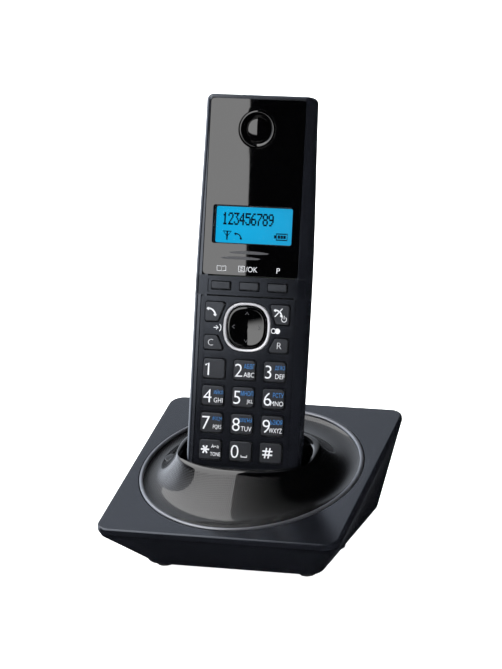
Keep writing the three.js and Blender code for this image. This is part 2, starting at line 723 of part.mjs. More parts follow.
add(handsetGroup, "navigator_pad", navigatorPad(), rubber);
add(handsetGroup, "navigator_cap", navigatorCap(), glossBlack);
add(handsetGroup, "microphone", rodSolid(3, [14, 8.4, -3], 2.4, "y", 20), magnetGrey);
add(handsetGroup, "ringer_speaker", speaker(10, 14, 19, 112), magnetGrey);
add(handsetGroup, "battery_left", batteryCell(-1), cellSleeve);
add(handsetGroup, "battery_right", batteryCell(1), cellSleeve);
add(handsetGroup, "battery_contacts", batteryContacts(), steel);
for (const [hand, side] of [["left", -1], ["right", 1]]) {
  add(handsetGroup, `charge_contact_${hand}`, chargeContact(side), steel);
  add(handsetGroup, `case_screw_${hand}`, caseScrew(side), steel);
}
for (const [name, corners, radius] of keyOutlines) {
  add(handsetGroup, name, plateSolid(roundedPolygon(corners, radius), -KEY_PROUD, KEY_BOTTOM, 0.35), keyGrey);
}
for (const [hand, side] of [["left", -1], ["middle", 0], ["right", 1]]) {
  const key = plateSolid(softKeyShape(side * SOFT_KEY.x, 0), -0.3, 1.9, 0.3);
  add(handsetGroup, `soft_key_${hand}`, key, keyGrey);
}

export default phone;
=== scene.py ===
"""Cordless telephone standing in its charging base, built round its CAD frame."""

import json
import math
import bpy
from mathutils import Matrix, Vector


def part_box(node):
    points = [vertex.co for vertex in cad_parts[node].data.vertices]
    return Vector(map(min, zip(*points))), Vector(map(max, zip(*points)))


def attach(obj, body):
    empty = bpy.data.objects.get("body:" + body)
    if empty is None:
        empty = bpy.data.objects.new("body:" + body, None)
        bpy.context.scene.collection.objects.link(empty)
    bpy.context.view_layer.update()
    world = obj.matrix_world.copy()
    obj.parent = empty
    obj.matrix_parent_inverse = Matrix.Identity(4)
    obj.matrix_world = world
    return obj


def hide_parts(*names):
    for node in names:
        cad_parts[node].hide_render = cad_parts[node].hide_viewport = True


bl_info = {
    "name": "Cordless Telephone",
    "version": (1, 0, 0),
    "blender": (4, 5, 0),
    "location": "View3D > Sidebar > Telephone",
    "description": "Builds a cordless telephone handset and its charging base",
    "category": "Add Mesh",
}

import bmesh
import bpy
from bpy.props import FloatProperty, FloatVectorProperty, PointerProperty
from bpy.types import Operator, Panel, PropertyGroup
from mathutils import Matrix, Vector
from mathutils.geometry import interpolate_bezier, intersect_line_sphere_2d

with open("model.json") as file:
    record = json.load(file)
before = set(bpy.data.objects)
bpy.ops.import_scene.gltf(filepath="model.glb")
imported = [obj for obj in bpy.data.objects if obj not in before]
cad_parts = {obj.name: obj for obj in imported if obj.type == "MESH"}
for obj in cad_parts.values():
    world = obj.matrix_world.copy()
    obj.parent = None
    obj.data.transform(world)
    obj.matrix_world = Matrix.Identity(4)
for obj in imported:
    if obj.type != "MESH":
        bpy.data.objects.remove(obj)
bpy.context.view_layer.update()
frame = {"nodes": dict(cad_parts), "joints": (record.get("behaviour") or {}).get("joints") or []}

# ---- the frames of the handset and of the plate --------------------------------------------

MM = 0.001
JOINTS = {joint["name"]: joint for joint in frame["joints"]}
NAVIGATOR_HINGE = (0.0, 1.7, 56.05)  # millimetres, in the handset's frame


def placing(origin, right, along, up):
    """Matrix from a part's own millimetres to metres in the row frame."""
    turn = Matrix((right, along, up)).transposed().to_4x4()
    return Matrix.Translation(origin) @ turn @ Matrix.Scale(MM, 4)


RIGHT = Vector((1, 0, 0))
HANDSET_UP = Vector(JOINTS["handset_lift"]["axis"]).normalized()
HANDSET_INWARD = Vector(JOINTS["key_5_press"]["axis"]).normalized()
HANDSET_ORIGIN = (
    Vector(JOINTS["navigator_up_down"]["pos_m"])
    - HANDSET_INWARD * NAVIGATOR_HINGE[1] * MM
    - HANDSET_UP * NAVIGATOR_HINGE[2] * MM
)
PLATE_NORMAL = -Vector(JOINTS["locator_button_press"]["axis"]).normalized()
PLATE_SLOPE = PLATE_NORMAL.cross(RIGHT)
RING_ABOVE_PLATE = 0.1  # from the ring's middle down to the plate's top
RING_LOW, RING_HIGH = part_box("dish_trim_ring")
PLATE_CENTRE = (RING_LOW + RING_HIGH) / 2 + PLATE_NORMAL * RING_ABOVE_PLATE * MM

# handset: X right, Y into the body from the keypad face, Z up the handset
HANDSET = placing(HANDSET_ORIGIN, RIGHT, HANDSET_INWARD, HANDSET_UP)
# plate: X right, Y up the slope, Z out of the plate
PLATE = placing(PLATE_CENTRE, RIGHT, PLATE_SLOPE, PLATE_NORMAL)
ROW = Matrix.Scale(MM, 4)
HANDSET_IN_PLATE = PLATE.inverted() @ HANDSET
PLATE_IN_ROW = ROW.inverted() @ PLATE

# ---- dimensions, in millimetres ------------------------------------------------------------

GAP = 0.3
SHARP = 32  # degrees past which an edge is not smoothed over

CASE_FRONT_CORNER = 3.0
CASE_END_ROUND = 2.6
CASE_SIDE_FLAT_TO = 6.0
CASE_BACK_EXPONENT = 2.2
CASE_BACK = [  # height up the handset, depth of the back
    (-11, 20.4), (15, 22.2), (45, 25.6), (75, 27.4), (100, 27), (130, 24.6), (150.5, 22.4),
]
CASE_TAPER_START = 70
CASE_SPLIT = 9.0
CASE_WALL = 2.0
INSERT_HALF_WIDTH = 20.5
INSERT_THICKNESS = 1.8
COVER_BOTTOM, COVER_TOP = 76.6, 149.0
BAND_BOTTOM, BAND_TOP = 68.4, 76.6
PANEL_BOTTOM = -8.3
EAR_HEIGHT, EAR_RADIUS, EAR_DOME = 136.5, 7.95, 4.5
WINDOW_HALF_WIDTH, WINDOW_BOTTOM, WINDOW_TOP = 16.85, 89.8, 105.2
NAV_HEIGHT, NAV_OUTER, NAV_INNER, NAV_CAP, NAV_EXPONENT = 56.05, 9.95, 8.95, 8.25, 2.6
DIGIT_WIDTH, DIGIT_HEIGHT, DIGIT_CORNER, FUNCTION_CORNER = 9.35, 8.1, 1.3, 1.1
DIGIT_PITCH_X, DIGIT_PITCH_Z, DIGIT_TOP_ROW = 12.96, 10.99, 38.54
KEY_CLEARANCE = 0.35
KEY_BACK = 1.7
SOFT_KEY_X, SOFT_KEY_Z, SOFT_KEY_WIDTH, SOFT_KEY_HEIGHT = 12.1, 72.5, 8.1, 3.1
DOOR_HALF_WIDTH, DOOR_BOTTOM, DOOR_TOP, DOOR_TRAVEL = 16.0, 20.0, 69.0, 4.5
DOOR_THICKNESS, DOOR_MIN_DEPTH = 1.5, 17.0
SCREW_X, SCREW_Z, SCREW_HEAD_Y = 13.0, 128.0, 19.2
CHARGE_X, CHARGE_Y = 12.0, 12.4

RIM_HALF_WIDTH, RIM_HALF_DEPTH, RIM_EXPONENT, RIM_CENTRE = 29.9, 17.8, 2.6, -0.62
WELL_HALF_WIDTH, WELL_NEAR, WELL_MIDDLE, WELL_FAR = 27.0, -1.1, 6.0, 23.3
WELL_FRONT_EXPONENT, WELL_BACK_EXPONENT = 5.0, 2.9
WELL_FLOOR = -11.55
FOOT_HALF_WIDTH, FOOT_FRONT, FOOT_BACK, FOOT_CORNER = 37.75, -33.9, 53.2, 6.0
BODY_BOTTOM = 1.7
BUTTON_X, BUTTON_S, BUTTON_RADIUS = -35.4, 3.0, 3.2
JACK_FRONT, JACK_BACK, JACK_LOW, JACK_WIDTH, JACK_HEIGHT = 37.0, 50.0, 8.3, 12.0, 11.0
DC_X, LINE_X = -14.0, 14.0
FEET = {"front": (30.5, -27.5), "middle": (33.2, 4.5), "rear": (31.5, 46.0)}
FOOT_RADIUS = 3.4
BASE_SCREWS = ((25, -20), (25, 36))
FAR = 70.0  # beyond every wall, for cutting shapes
HANDS = ((-1, "left"), (1, "right"))

# ---- sizes and colours that a user would change --------------------------------------------


def length(name, description, millimetres):
    return FloatProperty(
        name=name, description=description, default=millimetres * MM, min=0.0, unit="LENGTH",
        precision=5,
    )


def colour(name, description, rgb):
    return FloatVectorProperty(
        name=name, description=description, default=rgb, min=0.0, max=1.0, size=3, subtype="COLOR"
    )


def fraction(name, description, value):
    return FloatProperty(
        name=name, description=description, default=value, min=0.0, max=1.0, subtype="FACTOR"
    )


class PhoneBaseSizes(PropertyGroup):
    """Sizes of the charging base"""

    plate_half_width: length("Plate half width", "Middle of the plate to its side", 51.2)
    plate_depth: length("Plate depth", "Length of the plate up its slope", 103.4)
    plate_corner: length("Plate corner", "Radius of the plate's corners", 5.5)
    plate_thickness: length("Plate thickness", "Height of the plate's edge", 3.0)
    plate_lip: length("Plate lip", "Rounding of the plate's edge", 0.9)
    ring_outer: length("Ring outside", "Outer radius of the trim ring", 46.4)
    ring_inner: length("Ring inside", "Inner radius of the trim ring", 44.55)
    rim_height: length("Rim height", "Cradle rim above the plate", 9.24)
    dish_wall: length("Dish wall", "Thickness of the dish", 0.9)


class PhoneHandsetSizes(PropertyGroup):
    """Sizes of the handset and its keys"""

    bottom_below: length("Bottom", "Handset's end below the cradle rim", 11.0)
    top: length("Top", "Handset's top above the cradle rim", 150.5)
    half_width: length("Half width", "Middle of the handset to its side", 23.9)
    top_half_width: length("Top half width", "The same at the top", 22.9)
    key_proud: length("Key height", "Keys above the panel", 0.8)
    key_edge: length("Key edge", "Rounding of the keys' edges", 0.4)
    legend_proud: length("Legend height", "Printed signs above their key", 0.025)


class PhoneFinishes(PropertyGroup):
    """Colours and roughnesses of the materials"""

    shell: colour("Shell", "Moulded charcoal plastic", (0.0038, 0.0042, 0.0058))
    gloss: colour("Gloss black", "Polished black plastic", (0.0004, 0.0004, 0.0005))
    key: colour("Keys", "Keys of the keypad", (0.0105, 0.0108, 0.0120))
    ring: colour("Trim ring", "Ring round the dish", (0.15, 0.155, 0.17))
    chrome: colour("Navigator ring", "Satin ring round the navigator", (0.40, 0.40, 0.42))
    white_ink: colour("White ink", "White signs", (0.46, 0.47, 0.49))
    blue_ink: colour("Blue ink", "Blue letters", (0.005, 0.115, 0.33))
    screen: colour("Screen", "Backlight of the display", (0.005, 0.42, 0.78))
    screen_far: colour("Screen far side", "Backlight away from its lamp", (0.017, 0.36, 0.66))
    screen_ink: colour("Screen ink", "Dark dots of the display", (0.001, 0.004, 0.008))
    rubber: colour("Rubber", "Feet and key mat", (0.012, 0.012, 0.013))
    shell_roughness: fraction("Shell roughness", "Roughness of the moulded plastic", 0.15)
    gloss_roughness: fraction("Gloss roughness", "Roughness of the polished plastic", 0.01)


class PhoneStage(PropertyGroup):
    """Camera and floor"""

    camera_azimuth: FloatProperty(
        name="Camera azimuth", description="Turn to the right", default=math.radians(19.2), subtype="ANGLE"
    )
    camera_elevation: FloatProperty(
        name="Camera elevation", description="Height above the horizon", default=math.radians(17.39),
        subtype="ANGLE",
    )
    camera_roll: FloatProperty(
        name="Camera roll", description="Turn about the view", default=math.radians(-2.74), subtype="ANGLE"
    )
    camera_distance: FloatProperty(
        name="Camera distance", description="From the aim point", default=1.63685, unit="LENGTH"
    )
    camera_lens: FloatProperty(name="Lens", description="Focal length in millimetres", default=215.5)
    floor_colour: colour("Floor", "Paper sweep under the object", (0.9, 0.9, 0.9))


# ---- outlines -----------------------------------------------------------------------------


def in_mm(value):
    return value / MM


def rectangle(half_width, low, high, centre=0.0):
    """Corners, counterclockwise."""
    left, right = centre - half_width, centre + half_width
    return [Vector((left, low)), Vector((right, low)), Vector((right, high)), Vector((left, high))]


def rounded(corners, radius, arc_steps=6, side_steps=1):
    """Counterclockwise polygon with round corners, as a list of points."""
    points = []
    count = len(corners)
    for i, corner in enumerate(corners):
        back = (corners[i - 1] - corner).normalized()
        ahead = (corners[(i + 1) % count] - corner).normalized()
        half = back.angle(ahead) / 2
        centre = corner + (back + ahead).normalized() * radius / math.sin(half)
        start = corner + back * radius / math.tan(half) - centre
        turn = math.pi - 2 * half
        for step in range(arc_steps + 1):
            angle = turn * step / arc_steps
            points.append(centre + Matrix.Rotation(angle, 2) @ start)
        following = corners[(i + 1) % count]
        after = (corners[(i + 2) % count] - following).normalized()
        next_half = (-ahead).angle(after) / 2
        last = points[-1]
        first = following - ahead * radius / math.tan(next_half)
        for step in range(1, side_steps):
            points.append(last.lerp(first, step / side_steps))
    return points


def rounded_rectangle(half_width, low, high, radius, centre=0.0, arc_steps=6, side_steps=1):
    return rounded(rectangle(half_width, low, high, centre), radius, arc_steps, side_steps)


def grown(corners, distance):
    """Counterclockwise polygon moved outwards."""
    moved = []
    for i, corner in enumerate(corners):
        into = (corner - corners[i - 1]).normalized()
        out = (corners[(i + 1) % len(corners)] - corner).normalized()
        turn = into.x * out.y - into.y * out.x
        moved.append(corner + (out - into) * (-distance / turn))
    return moved


def superellipse(half_width, half_height, exponent, centre=(0.0, 0.0), count=96):
    points = []
    for i in range(count):
        angle = 2 * math.pi * i / count
        c, s = math.cos(angle), math.sin(angle)
        total = abs(c / half_width) ** exponent + abs(s / half_height) ** exponent
        points.append(Vector(centre) + Vector((c, s)) * total ** (-1 / exponent))
    return points


def circle(radius, centre=(0.0, 0.0), count=48):
    return superellipse(radius, radius, 2.0, centre, count)


# ---- mesh work ----------------------------------------------------------------------------


def ring_edges(bm, points):
    """Closed loop of edges through the points."""
    verts = [bm.verts.new(point) for point in points]
    return [bm.edges.new((vert, verts[(i + 1) % len(verts)])) for i, vert in enumerate(verts)]


def lofted(rings, cap_first=True, cap_last=True, closed=False):
    """Skin over rings of equal count."""
    bm = bmesh.new()
    loops = [ring_edges(bm, ring) for ring in rings]
    pairs = list(zip(loops, loops[1:]))
    if closed:
        pairs.append((loops[-1], loops[0]))
    for lower, upper in pairs:
        bmesh.ops.bridge_loops(bm, edges=lower + upper)
    if cap_first and not closed:
        bmesh.ops.contextual_create(bm, geom=loops[0])
    if cap_last and not closed:
        bmesh.ops.contextual_create(bm, geom=loops[-1])
    bmesh.ops.recalc_face_normals(bm, faces=bm.faces)
    return bm


def verts_in(result):
    """The vertices that an operator made."""
    return [item for item in result["geom"] if isinstance(item, bmesh.types.BMVert)]


def face_outward(bm):
    bmesh.ops.recalc_face_normals(bm, faces=bm.faces)
    if bm.calc_volume(signed=True) < 0:
        bmesh.ops.reverse_faces(bm, faces=bm.faces)


def bevel(bm, edges, offset, segments=3):
    if offset <= 0:
        return
    bmesh.ops.bevel(
        bm, geom=list(edges), offset=offset, offset_type="OFFSET", segments=segments, profile=0.5,
        affect="EDGES", clamp_overlap=True, material=-1,
    )


def slab(outline, near, far, near_edge=0.0, far_edge=0.0, holes=(), segments=3):
    """Sheet drawn in X and Z between two depths along Y, with round edges."""
    bm = bmesh.new()
    edges = []
    for ring in (outline, *holes):
        edges += ring_edges(bm, [Vector((point.x, near, point.y)) for point in ring])
    if holes or not (near_edge or far_edge):
        bmesh.ops.triangle_fill(bm, edges=edges, use_beauty=True)
    else:
        bmesh.ops.contextual_create(bm, geom=edges)
    grown_part = bmesh.ops.extrude_face_region(bm, geom=list(bm.faces), use_keep_orig=True)
    bmesh.ops.translate(bm, verts=verts_in(grown_part), vec=(0, far - near, 0))
    face_outward(bm)
    for depth, offset in ((near, near_edge), (far, far_edge)):
        rim = [
            edge for edge in bm.edges
            if all(abs(vert.co.y - depth) < 1e-5 for vert in edge.verts) and edge.calc_face_angle(0) > 1
        ]
        bevel(bm, rim, offset, segments)
    return bm


def column(outline, low, high, low_edge=0.0, high_edge=0.0, holes=(), segments=3):
    """Solid drawn in X and Y between two heights along Z."""
    bm = slab(outline, -high, -low, high_edge, low_edge, holes, segments)
    for vert in bm.verts:
        vert.co = Vector((vert.co.x, vert.co.z, -vert.co.y))
    bmesh.ops.recalc_face_normals(bm, faces=bm.faces)
    return bm


def turned(profile, steps=64, centre=(0.0, 0.0, 0.0), axis=(0, 0, 1), ring=False):
    """Solid or ring turned about an axis from (radius, distance along it) pairs."""
    axis = Vector(axis)
    side = Vector((1, 0, 0))
    bm = bmesh.new()
    verts = [bm.verts.new(Vector(centre) + side * r + axis * h) for r, h in profile]
    edges = [bm.edges.new(pair) for pair in zip(verts, verts[1:])]
    if ring:
        edges.append(bm.edges.new((verts[-1], verts[0])))
    bmesh.ops.spin(
        bm, geom=verts + edges, cent=centre, axis=axis, dvec=(0, 0, 0), angle=2 * math.pi, steps=steps,
        use_merge=True,
    )
    bmesh.ops.remove_doubles(bm, verts=bm.verts, dist=1e-4)
    bmesh.ops.recalc_face_normals(bm, faces=bm.faces)
    return bm


def rod(radius, low, high, centre=(0.0, 0.0, 0.0), axis=(0, 0, 1), steps=32, edge=0.0):
    if edge > 0:
        profile = [(0, low), (radius - edge, low), (radius, low + edge), (radius, high - edge)]
        profile += [(radius - edge, high), (0, high)]
    else:
        profile = [(0, low), (radius, low), (radius, high), (0, high)]
    return turned(profile, steps, centre, axis)


def block(low, high, edge=0.0, segments=2):
    """Box between two corners."""
    bm = bmesh.new()
    bmesh.ops.create_cube(bm, size=1.0)
    low, high = Vector(low), Vector(high)
    bmesh.ops.scale(bm, verts=bm.verts, vec=high - low)
    bmesh.ops.translate(bm, verts=bm.verts, vec=(low + high) / 2)
    bevel(bm, bm.edges[:], edge, segments)
    return bm


def linked(name, data):
    """A new object in the scene."""
    made = bpy.data.objects.new(name, data)
    bpy.context.scene.collection.objects.link(made)
    return made


def worked_out(holder):
    """The shape of an object after its modifiers, or of its curve."""
    depsgraph = bpy.context.evaluated_depsgraph_get()
    mesh = bpy.data.meshes.new_from_object(holder.evaluated_get(depsgraph))
    bm = bmesh.new()
    bm.from_mesh(mesh)
    bpy.data.meshes.remove(mesh)
    return bm


def mesh_of(bm, name):
    mesh = bpy.data.meshes.new(name)
    bm.to_mesh(mesh)
    bm.free()
    return mesh


def joined(first, *others):
    """One mesh out of several."""
    for other in others:
        mesh = mesh_of(other, "joining")
        first.from_mesh(mesh)
        bpy.data.meshes.remove(mesh)
    return first


def carved(bm, cutters, operation="DIFFERENCE"):
    """The shape with each cutting shape taken out of it, or kept to it."""
    target = linked("carving", mesh_of(bm, "carving"))
    tools = []
    for cutter in cutters:
        tool = linked("cutter", mesh_of(cutter, "cutter"))
        modifier = target.modifiers.new("cut", "BOOLEAN")
        modifier.object = tool
        modifier.operation = operation
        modifier.solver = "EXACT"
        tools.append(tool)
    carved_bm = worked_out(target)
    for used in (target, *tools):
        mesh = used.data
        bpy.data.objects.remove(used)
        bpy.data.meshes.remove(mesh)
    bmesh.ops.remove_doubles(carved_bm, verts=carved_bm.verts, dist=1e-4)
    if not carved_bm.faces:
        raise RuntimeError("a cut left nothing of a piece")
    return carved_bm


def weigh_normals(mesh, sharp):
    """Shading normals weighted by area, so that a flat face stays flat up to its round edge."""
    limit = math.cos(math.radians(sharp))
    normals = [polygon.normal.copy() for polygon in mesh.polygons]
    weights = [polygon.area for polygon in mesh.polygons]
    around = [[] for _ in mesh.vertices]
    for polygon in mesh.polygons:
        for index in polygon.vertices:
            around[index].append(polygon.index)
    shading = []
    for polygon in mesh.polygons:
        own = normals[polygon.index]
        for index in polygon.vertices:
            total = Vector()
            for near in around[index]:
                if normals[near].dot(own) > limit:
                    total += normals[near] * weights[near]
            shading.append(total.normalized() if total.length > 0 else own)
    mesh.shade_smooth()
    mesh.normals_split_custom_set(shading)


def add_piece(bm, name, place, finish, body, node=None, sharp=SHARP):
    """A finished object on a CAD body, standing for the CAD node given."""
    bmesh.ops.transform(bm, matrix=place, verts=bm.verts)
    mesh = mesh_of(bm, name)
    weigh_normals(mesh, sharp)
    mesh.materials.append(finish_named(finish))
    piece = linked(name, mesh)
    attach(piece, body)
    if node:
        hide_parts(node)


def lettering(text, height, at, depth, thickness, align=(0.5, 0.5), weight=0.0, stretch=1.0):
    """Flat letters facing the user in the handset's frame, of a given height of capital."""
    curve = bpy.data.curves.new("letters", "FONT")
    curve.body = text
    curve.resolution_u = 3
    curve.offset = weight
    curve.extrude = 0.1
    holder = linked("letters", curve)
    bm = worked_out(holder)
    bpy.data.objects.remove(holder)
    bpy.data.curves.remove(curve)
    bmesh.ops.remove_doubles(bm, verts=bm.verts, dist=1e-5)
    xs = [vert.co.x for vert in bm.verts]
    ys = [vert.co.y for vert in bm.verts]
    low, high = Vector((min(xs), min(ys))), Vector((max(xs), max(ys)))
    size = height / (high.y - low.y)
    anchor = Vector((low.x + (high.x - low.x) * align[0], low.y + (high.y - low.y) * align[1]))
    for vert in bm.verts:
        flat = (vert.co.xy - anchor) * size
        behind = thickness if vert.co.z < 0 else 0.0
        vert.co = Vector((at[0] + flat.x * stretch, depth + behind, at[1] + flat.y))
    return bm


def stroke(path, width, depth, thickness, closed=False):
    """Flat ribbon of even width along a path drawn in X and Z."""
    points = [Vector(point) for point in path]
    count = len(points)
    sides = ([], [])
    for i, point in enumerate(points):
        before = points[i - 1] if closed or i > 0 else point
        after = points[(i + 1) % count] if closed or i < count - 1 else point
        ahead = (after - before).normalized()
        across = Vector((-ahead.y, ahead.x)) * width / 2
        sides[0].append(point - across)
        sides[1].append(point + across)
    if closed:
        outer, inner = sides[0], list(sides[1])
        return slab(outer, depth, depth + thickness, holes=[inner])
    return slab(sides[0] + sides[1][::-1], depth, depth + thickness)


def arc(centre, radius, start, end, steps=10):
    """Points of an arc, angles in degrees."""
    points = []
    for i in range(steps + 1):
        angle = math.radians(start + (end - start) * i / steps)
        points.append(Vector(centre) + Vector((math.cos(angle), math.sin(angle))) * radius)
    return points


# ---- finishes -----------------------------------------------------------------------------


class Finish:
    """A material in the making: its shader and a few ready node links."""

    def __init__(self, name, roughness, metallic=0.0, specular=0.5):
        self.material = bpy.data.materials.new(name)
        self.material.use_nodes = True
        self.tree = self.material.node_tree
        self.shader = self.tree.nodes["Principled BSDF"]
        self.shader.inputs["Roughness"].default_value = roughness
        self.shader.inputs["Metallic"].default_value = metallic
        self.shader.inputs["Specular IOR Level"].default_value = specular
        self.place = self.node("ShaderNodeTexCoord").outputs["Object"]

    def node(self, kind, **settings):
        node = self.tree.nodes.new(kind)
        for key, value in settings.items():
            setattr(node, key, value)
        return node

    def link(self, output, target):
        self.tree.links.new(output, target)

    def coordinates(self, vector=None):
        """The X, Y and Z of a vector, by default of the place on the piece."""
        parts = self.node("ShaderNodeSeparateXYZ")
        self.link(vector or self.place, parts.inputs["Vector"])
        return parts.outputs

    def feed(self, socket, output):
        self.link(output, self.shader.inputs[socket])

    def mapped(self, rotation=(0, 0, 0), scale=(1, 1, 1), location=(0, 0, 0)):
        mapping = self.node("ShaderNodeMapping")
        mapping.inputs["Location"].default_value = location
        mapping.inputs["Rotation"].default_value = rotation
        mapping.inputs["Scale"].default_value = scale
        self.link(self.place, mapping.inputs["Vector"])
        return mapping.outputs["Vector"]

    def noise(self, scale, detail=2.0, roughness=0.5, vector=None):
        noise = self.node("ShaderNodeTexNoise")
        noise.inputs["Scale"].default_value = scale
        noise.inputs["Detail"].default_value = detail
        noise.inputs["Roughness"].default_value = roughness
        self.link(vector or self.place, noise.inputs["Vector"])
        return noise.outputs["Fac"]

    def spread(self, value, low, high, from_low=0.3, from_high=0.7):
        """A noise value stretched to run from low to high."""
        spread = self.node("ShaderNodeMapRange")
        spread.inputs["From Min"].default_value = from_low
        spread.inputs["From Max"].default_value = from_high
        spread.inputs["To Min"].default_value = low
        spread.inputs["To Max"].default_value = high
        self.link(value, spread.inputs["Value"])
        return spread.outputs["Result"]

    def maths(self, operation, first, second=None):
        maths = self.node("ShaderNodeMath", operation=operation)
        for socket, value in zip(maths.inputs, (first, second)):
            if isinstance(value, (int, float)):
                socket.default_value = value
            elif value is not None:
                self.link(value, socket)
        return maths.outputs["Value"]

    def colours(self, value, low, high):
        """Colour that goes from low to high with a value from 0 to 1."""
        mix = self.node("ShaderNodeMix", data_type="RGBA")
        self.link(value, mix.inputs["Factor"])
        mix.inputs["A"].default_value = (*low, 1)
        mix.inputs["B"].default_value = (*high, 1)
        return mix.outputs["Result"]

    def mottle(self, cloud, rgb, dark, bright):
        """Base colour that wanders between two tints with a noise value."""
        share = self.spread(cloud, 0, 1)
        self.feed("Base Color", self.colours(share, tinted(rgb, dark), tinted(rgb, bright)))

    def roughen(self, value, low, high):
        self.feed("Roughness", self.spread(value, low, high))

    def emboss(self, height, strength, distance):
        bump = self.node("ShaderNodeBump")
        bump.inputs["Strength"].default_value = strength
        bump.inputs["Distance"].default_value = distance
        self.link(height, bump.inputs["Height"])
        self.feed("Normal", bump.outputs["Normal"])


def tinted(rgb, factor):
    return tuple(min(1.0, channel * factor) for channel in rgb)


def moulded(name, rgb, roughness, grain=0.00035, depth=0.000004, specular=0.5):
    """Moulded plastic with a fine spark-eroded grain, handled a little."""
    finish = Finish(name, roughness, specular=specular)
    finish.shader.inputs["Specular Tint"].default_value = (0.8, 0.87, 1.0, 1)
    cloud = finish.noise(38.0, 3.0)
    finish.mottle(cloud, rgb, 0.9, 1.12)
    wear = finish.noise(120.0, 4.0, 0.6)
    finish.roughen(wear, roughness - 0.02, roughness + 0.02)
    grains = finish.noise(1.0 / grain, 2.0, 0.55)
    finish.emboss(grains, 0.1, depth)
    return finish.material


def polished(name, rgb, roughness, specular=0.5):
    """Polished black plastic: a mirror with the faintest ripple and a few wipe marks."""
    finish = Finish(name, roughness, specular=specular)
    cloud = finish.noise(60.0, 2.0)
    finish.mottle(cloud, rgb, 0.85, 1.2)
    wipes = finish.noise(26.0, 5.0, 0.65, finish.mapped(scale=(1.0, 1.0, 4.0)))
    finish.roughen(wipes, roughness * 0.75, roughness * 1.5)
    ripple = finish.noise(220.0, 1.0)
    finish.emboss(ripple, 0.02, 0.000004)
    return finish.material


DOT_PITCH = 0.0008


def dotted_dish(name, rgb, roughness, rim_height):
    """Polished black with a field of fine sunk dots all over the dish, outside its lip."""
    finish = Finish(name, roughness)
    tilt = math.atan2(PLATE_NORMAL.y, PLATE_NORMAL.z)
    flat = finish.coordinates(finish.mapped(rotation=(tilt, 0, 0)))
    waves = []
    for axis in ("X", "Y"):
        wave = finish.maths("MULTIPLY", flat[axis], math.pi / DOT_PITCH)
        waves.append(finish.maths("SINE", wave))
    dots = finish.maths("ABSOLUTE", finish.maths("MULTIPLY", waves[0], waves[1]))
    spots = finish.spread(dots, 0.0, 1.0, 0.4, 0.7)
    rim = (Matrix.Rotation(tilt, 3, "X") @ PLATE_CENTRE).z + rim_height
    field = finish.spread(flat["Z"], 1.0, 0.0, rim - 0.0012, rim - 0.0004)
    sunk = finish.maths("MULTIPLY", spots, field)
    finish.emboss(sunk, 0.6, 0.00005)
    finish.feed("Roughness", finish.spread(sunk, roughness, roughness + 0.2, 0.0, 1.0))
    finish.feed("Base Color", finish.colours(sunk, rgb, tinted(rgb, 1.6)))
    return finish.material


def plated(name, rgb, roughness, brush=(1, 1, 1)):
    """Bright metal or metal-look trim with fine lines."""
    finish = Finish(name, roughness, metallic=1.0)
    cloud = finish.noise(90.0, 3.0)
    finish.mottle(cloud, rgb, 0.93, 1.05)
    lines = finish.noise(900.0, 2.0, 0.5, finish.mapped(scale=brush))
    finish.roughen(lines, roughness * 0.8, roughness * 1.25)
    finish.emboss(lines, 0.08, 0.00001)
    return finish.material


def satin_ring(name, rgb, roughness, metallic=0.85):
    """Satin grey trim: part metal flake, part lacquer."""
    finish = Finish(name, roughness, metallic)
    flake = finish.noise(7000.0, 2.0)
    finish.mottle(flake, rgb, 0.93, 1.06)
    finish.roughen(flake, roughness * 0.85, roughness * 1.2)
    finish.shader.inputs["Coat Weight"].default_value = 0.1
    finish.shader.inputs["Coat Roughness"].default_value = 0.15
    finish.emboss(flake, 0.05, 0.00001)
    return finish.material


def printed(name, rgb, roughness=0.5, specular=0.3):
    """Printed ink, slightly uneven."""
    finish = Finish(name, roughness, specular=specular)
    cloud = finish.noise(2200.0, 2.0)
    finish.mottle(cloud, rgb, 0.9, 1.06)
    finish.roughen(cloud, roughness - 0.05, roughness + 0.05)
    return finish.material


def rubbery(name, rgb, roughness=0.8):
    """Moulded rubber with a soft bloom."""
    finish = Finish(name, roughness, specular=0.3)
    bloom = finish.noise(160.0, 4.0, 0.6)
    finish.mottle(bloom, rgb, 0.85, 1.5)
    pores = finish.noise(3200.0, 2.0)
    finish.emboss(pores, 0.4, 0.00003)
    return finish.material


def lit_screen(name, near, far_side, half_width):
    """Backlit display: lit from its left end, its dark base colour mottled by noise."""
    finish = Finish(name, 0.5, specular=0.0)
    across = finish.spread(finish.coordinates()["X"], 0.0, 1.0, -half_width * MM, half_width * MM)
    glow = finish.colours(across, near, far_side)
    finish.feed("Emission Color", glow)
    finish.shader.inputs["Emission Strength"].default_value = 0.92
    dark = finish.colours(finish.noise(300.0, 2.0), tinted(near, 0.04), tinted(near, 0.06))
    finish.feed("Base Color", dark)
    return finish.material


def clear_sheet(name):
    """Clear window over the display: a faint tint with a little haze."""
    finish = Finish(name, 0.02, specular=0.0)
    haze = finish.noise(80.0, 3.0)
    finish.feed("Alpha", finish.spread(haze, 0.02, 0.04))
    finish.feed("Base Color", finish.colours(haze, (0.01, 0.012, 0.014), (0.02, 0.022, 0.024)))
    return finish.material


def circuit(name, rgb):
    """Green board with copper tracks under the lacquer."""
    finish = Finish(name, 0.35)
    bricks = finish.node("ShaderNodeTexBrick")
    bricks.inputs["Scale"].default_value = 260.0
    bricks.inputs["Mortar Size"].default_value = 0.04
    bricks.inputs["Color1"].default_value = (*rgb, 1)
    bricks.inputs["Color2"].default_value = (*tinted(rgb, 1.25), 1)
    bricks.inputs["Mortar"].default_value = (*tinted(rgb, 2.4), 1)
    finish.link(finish.place, bricks.inputs["Vector"])
    finish.feed("Base Color", bricks.outputs["Color"])
    finish.emboss(bricks.outputs["Fac"], 0.3, 0.00003)
    return finish.material


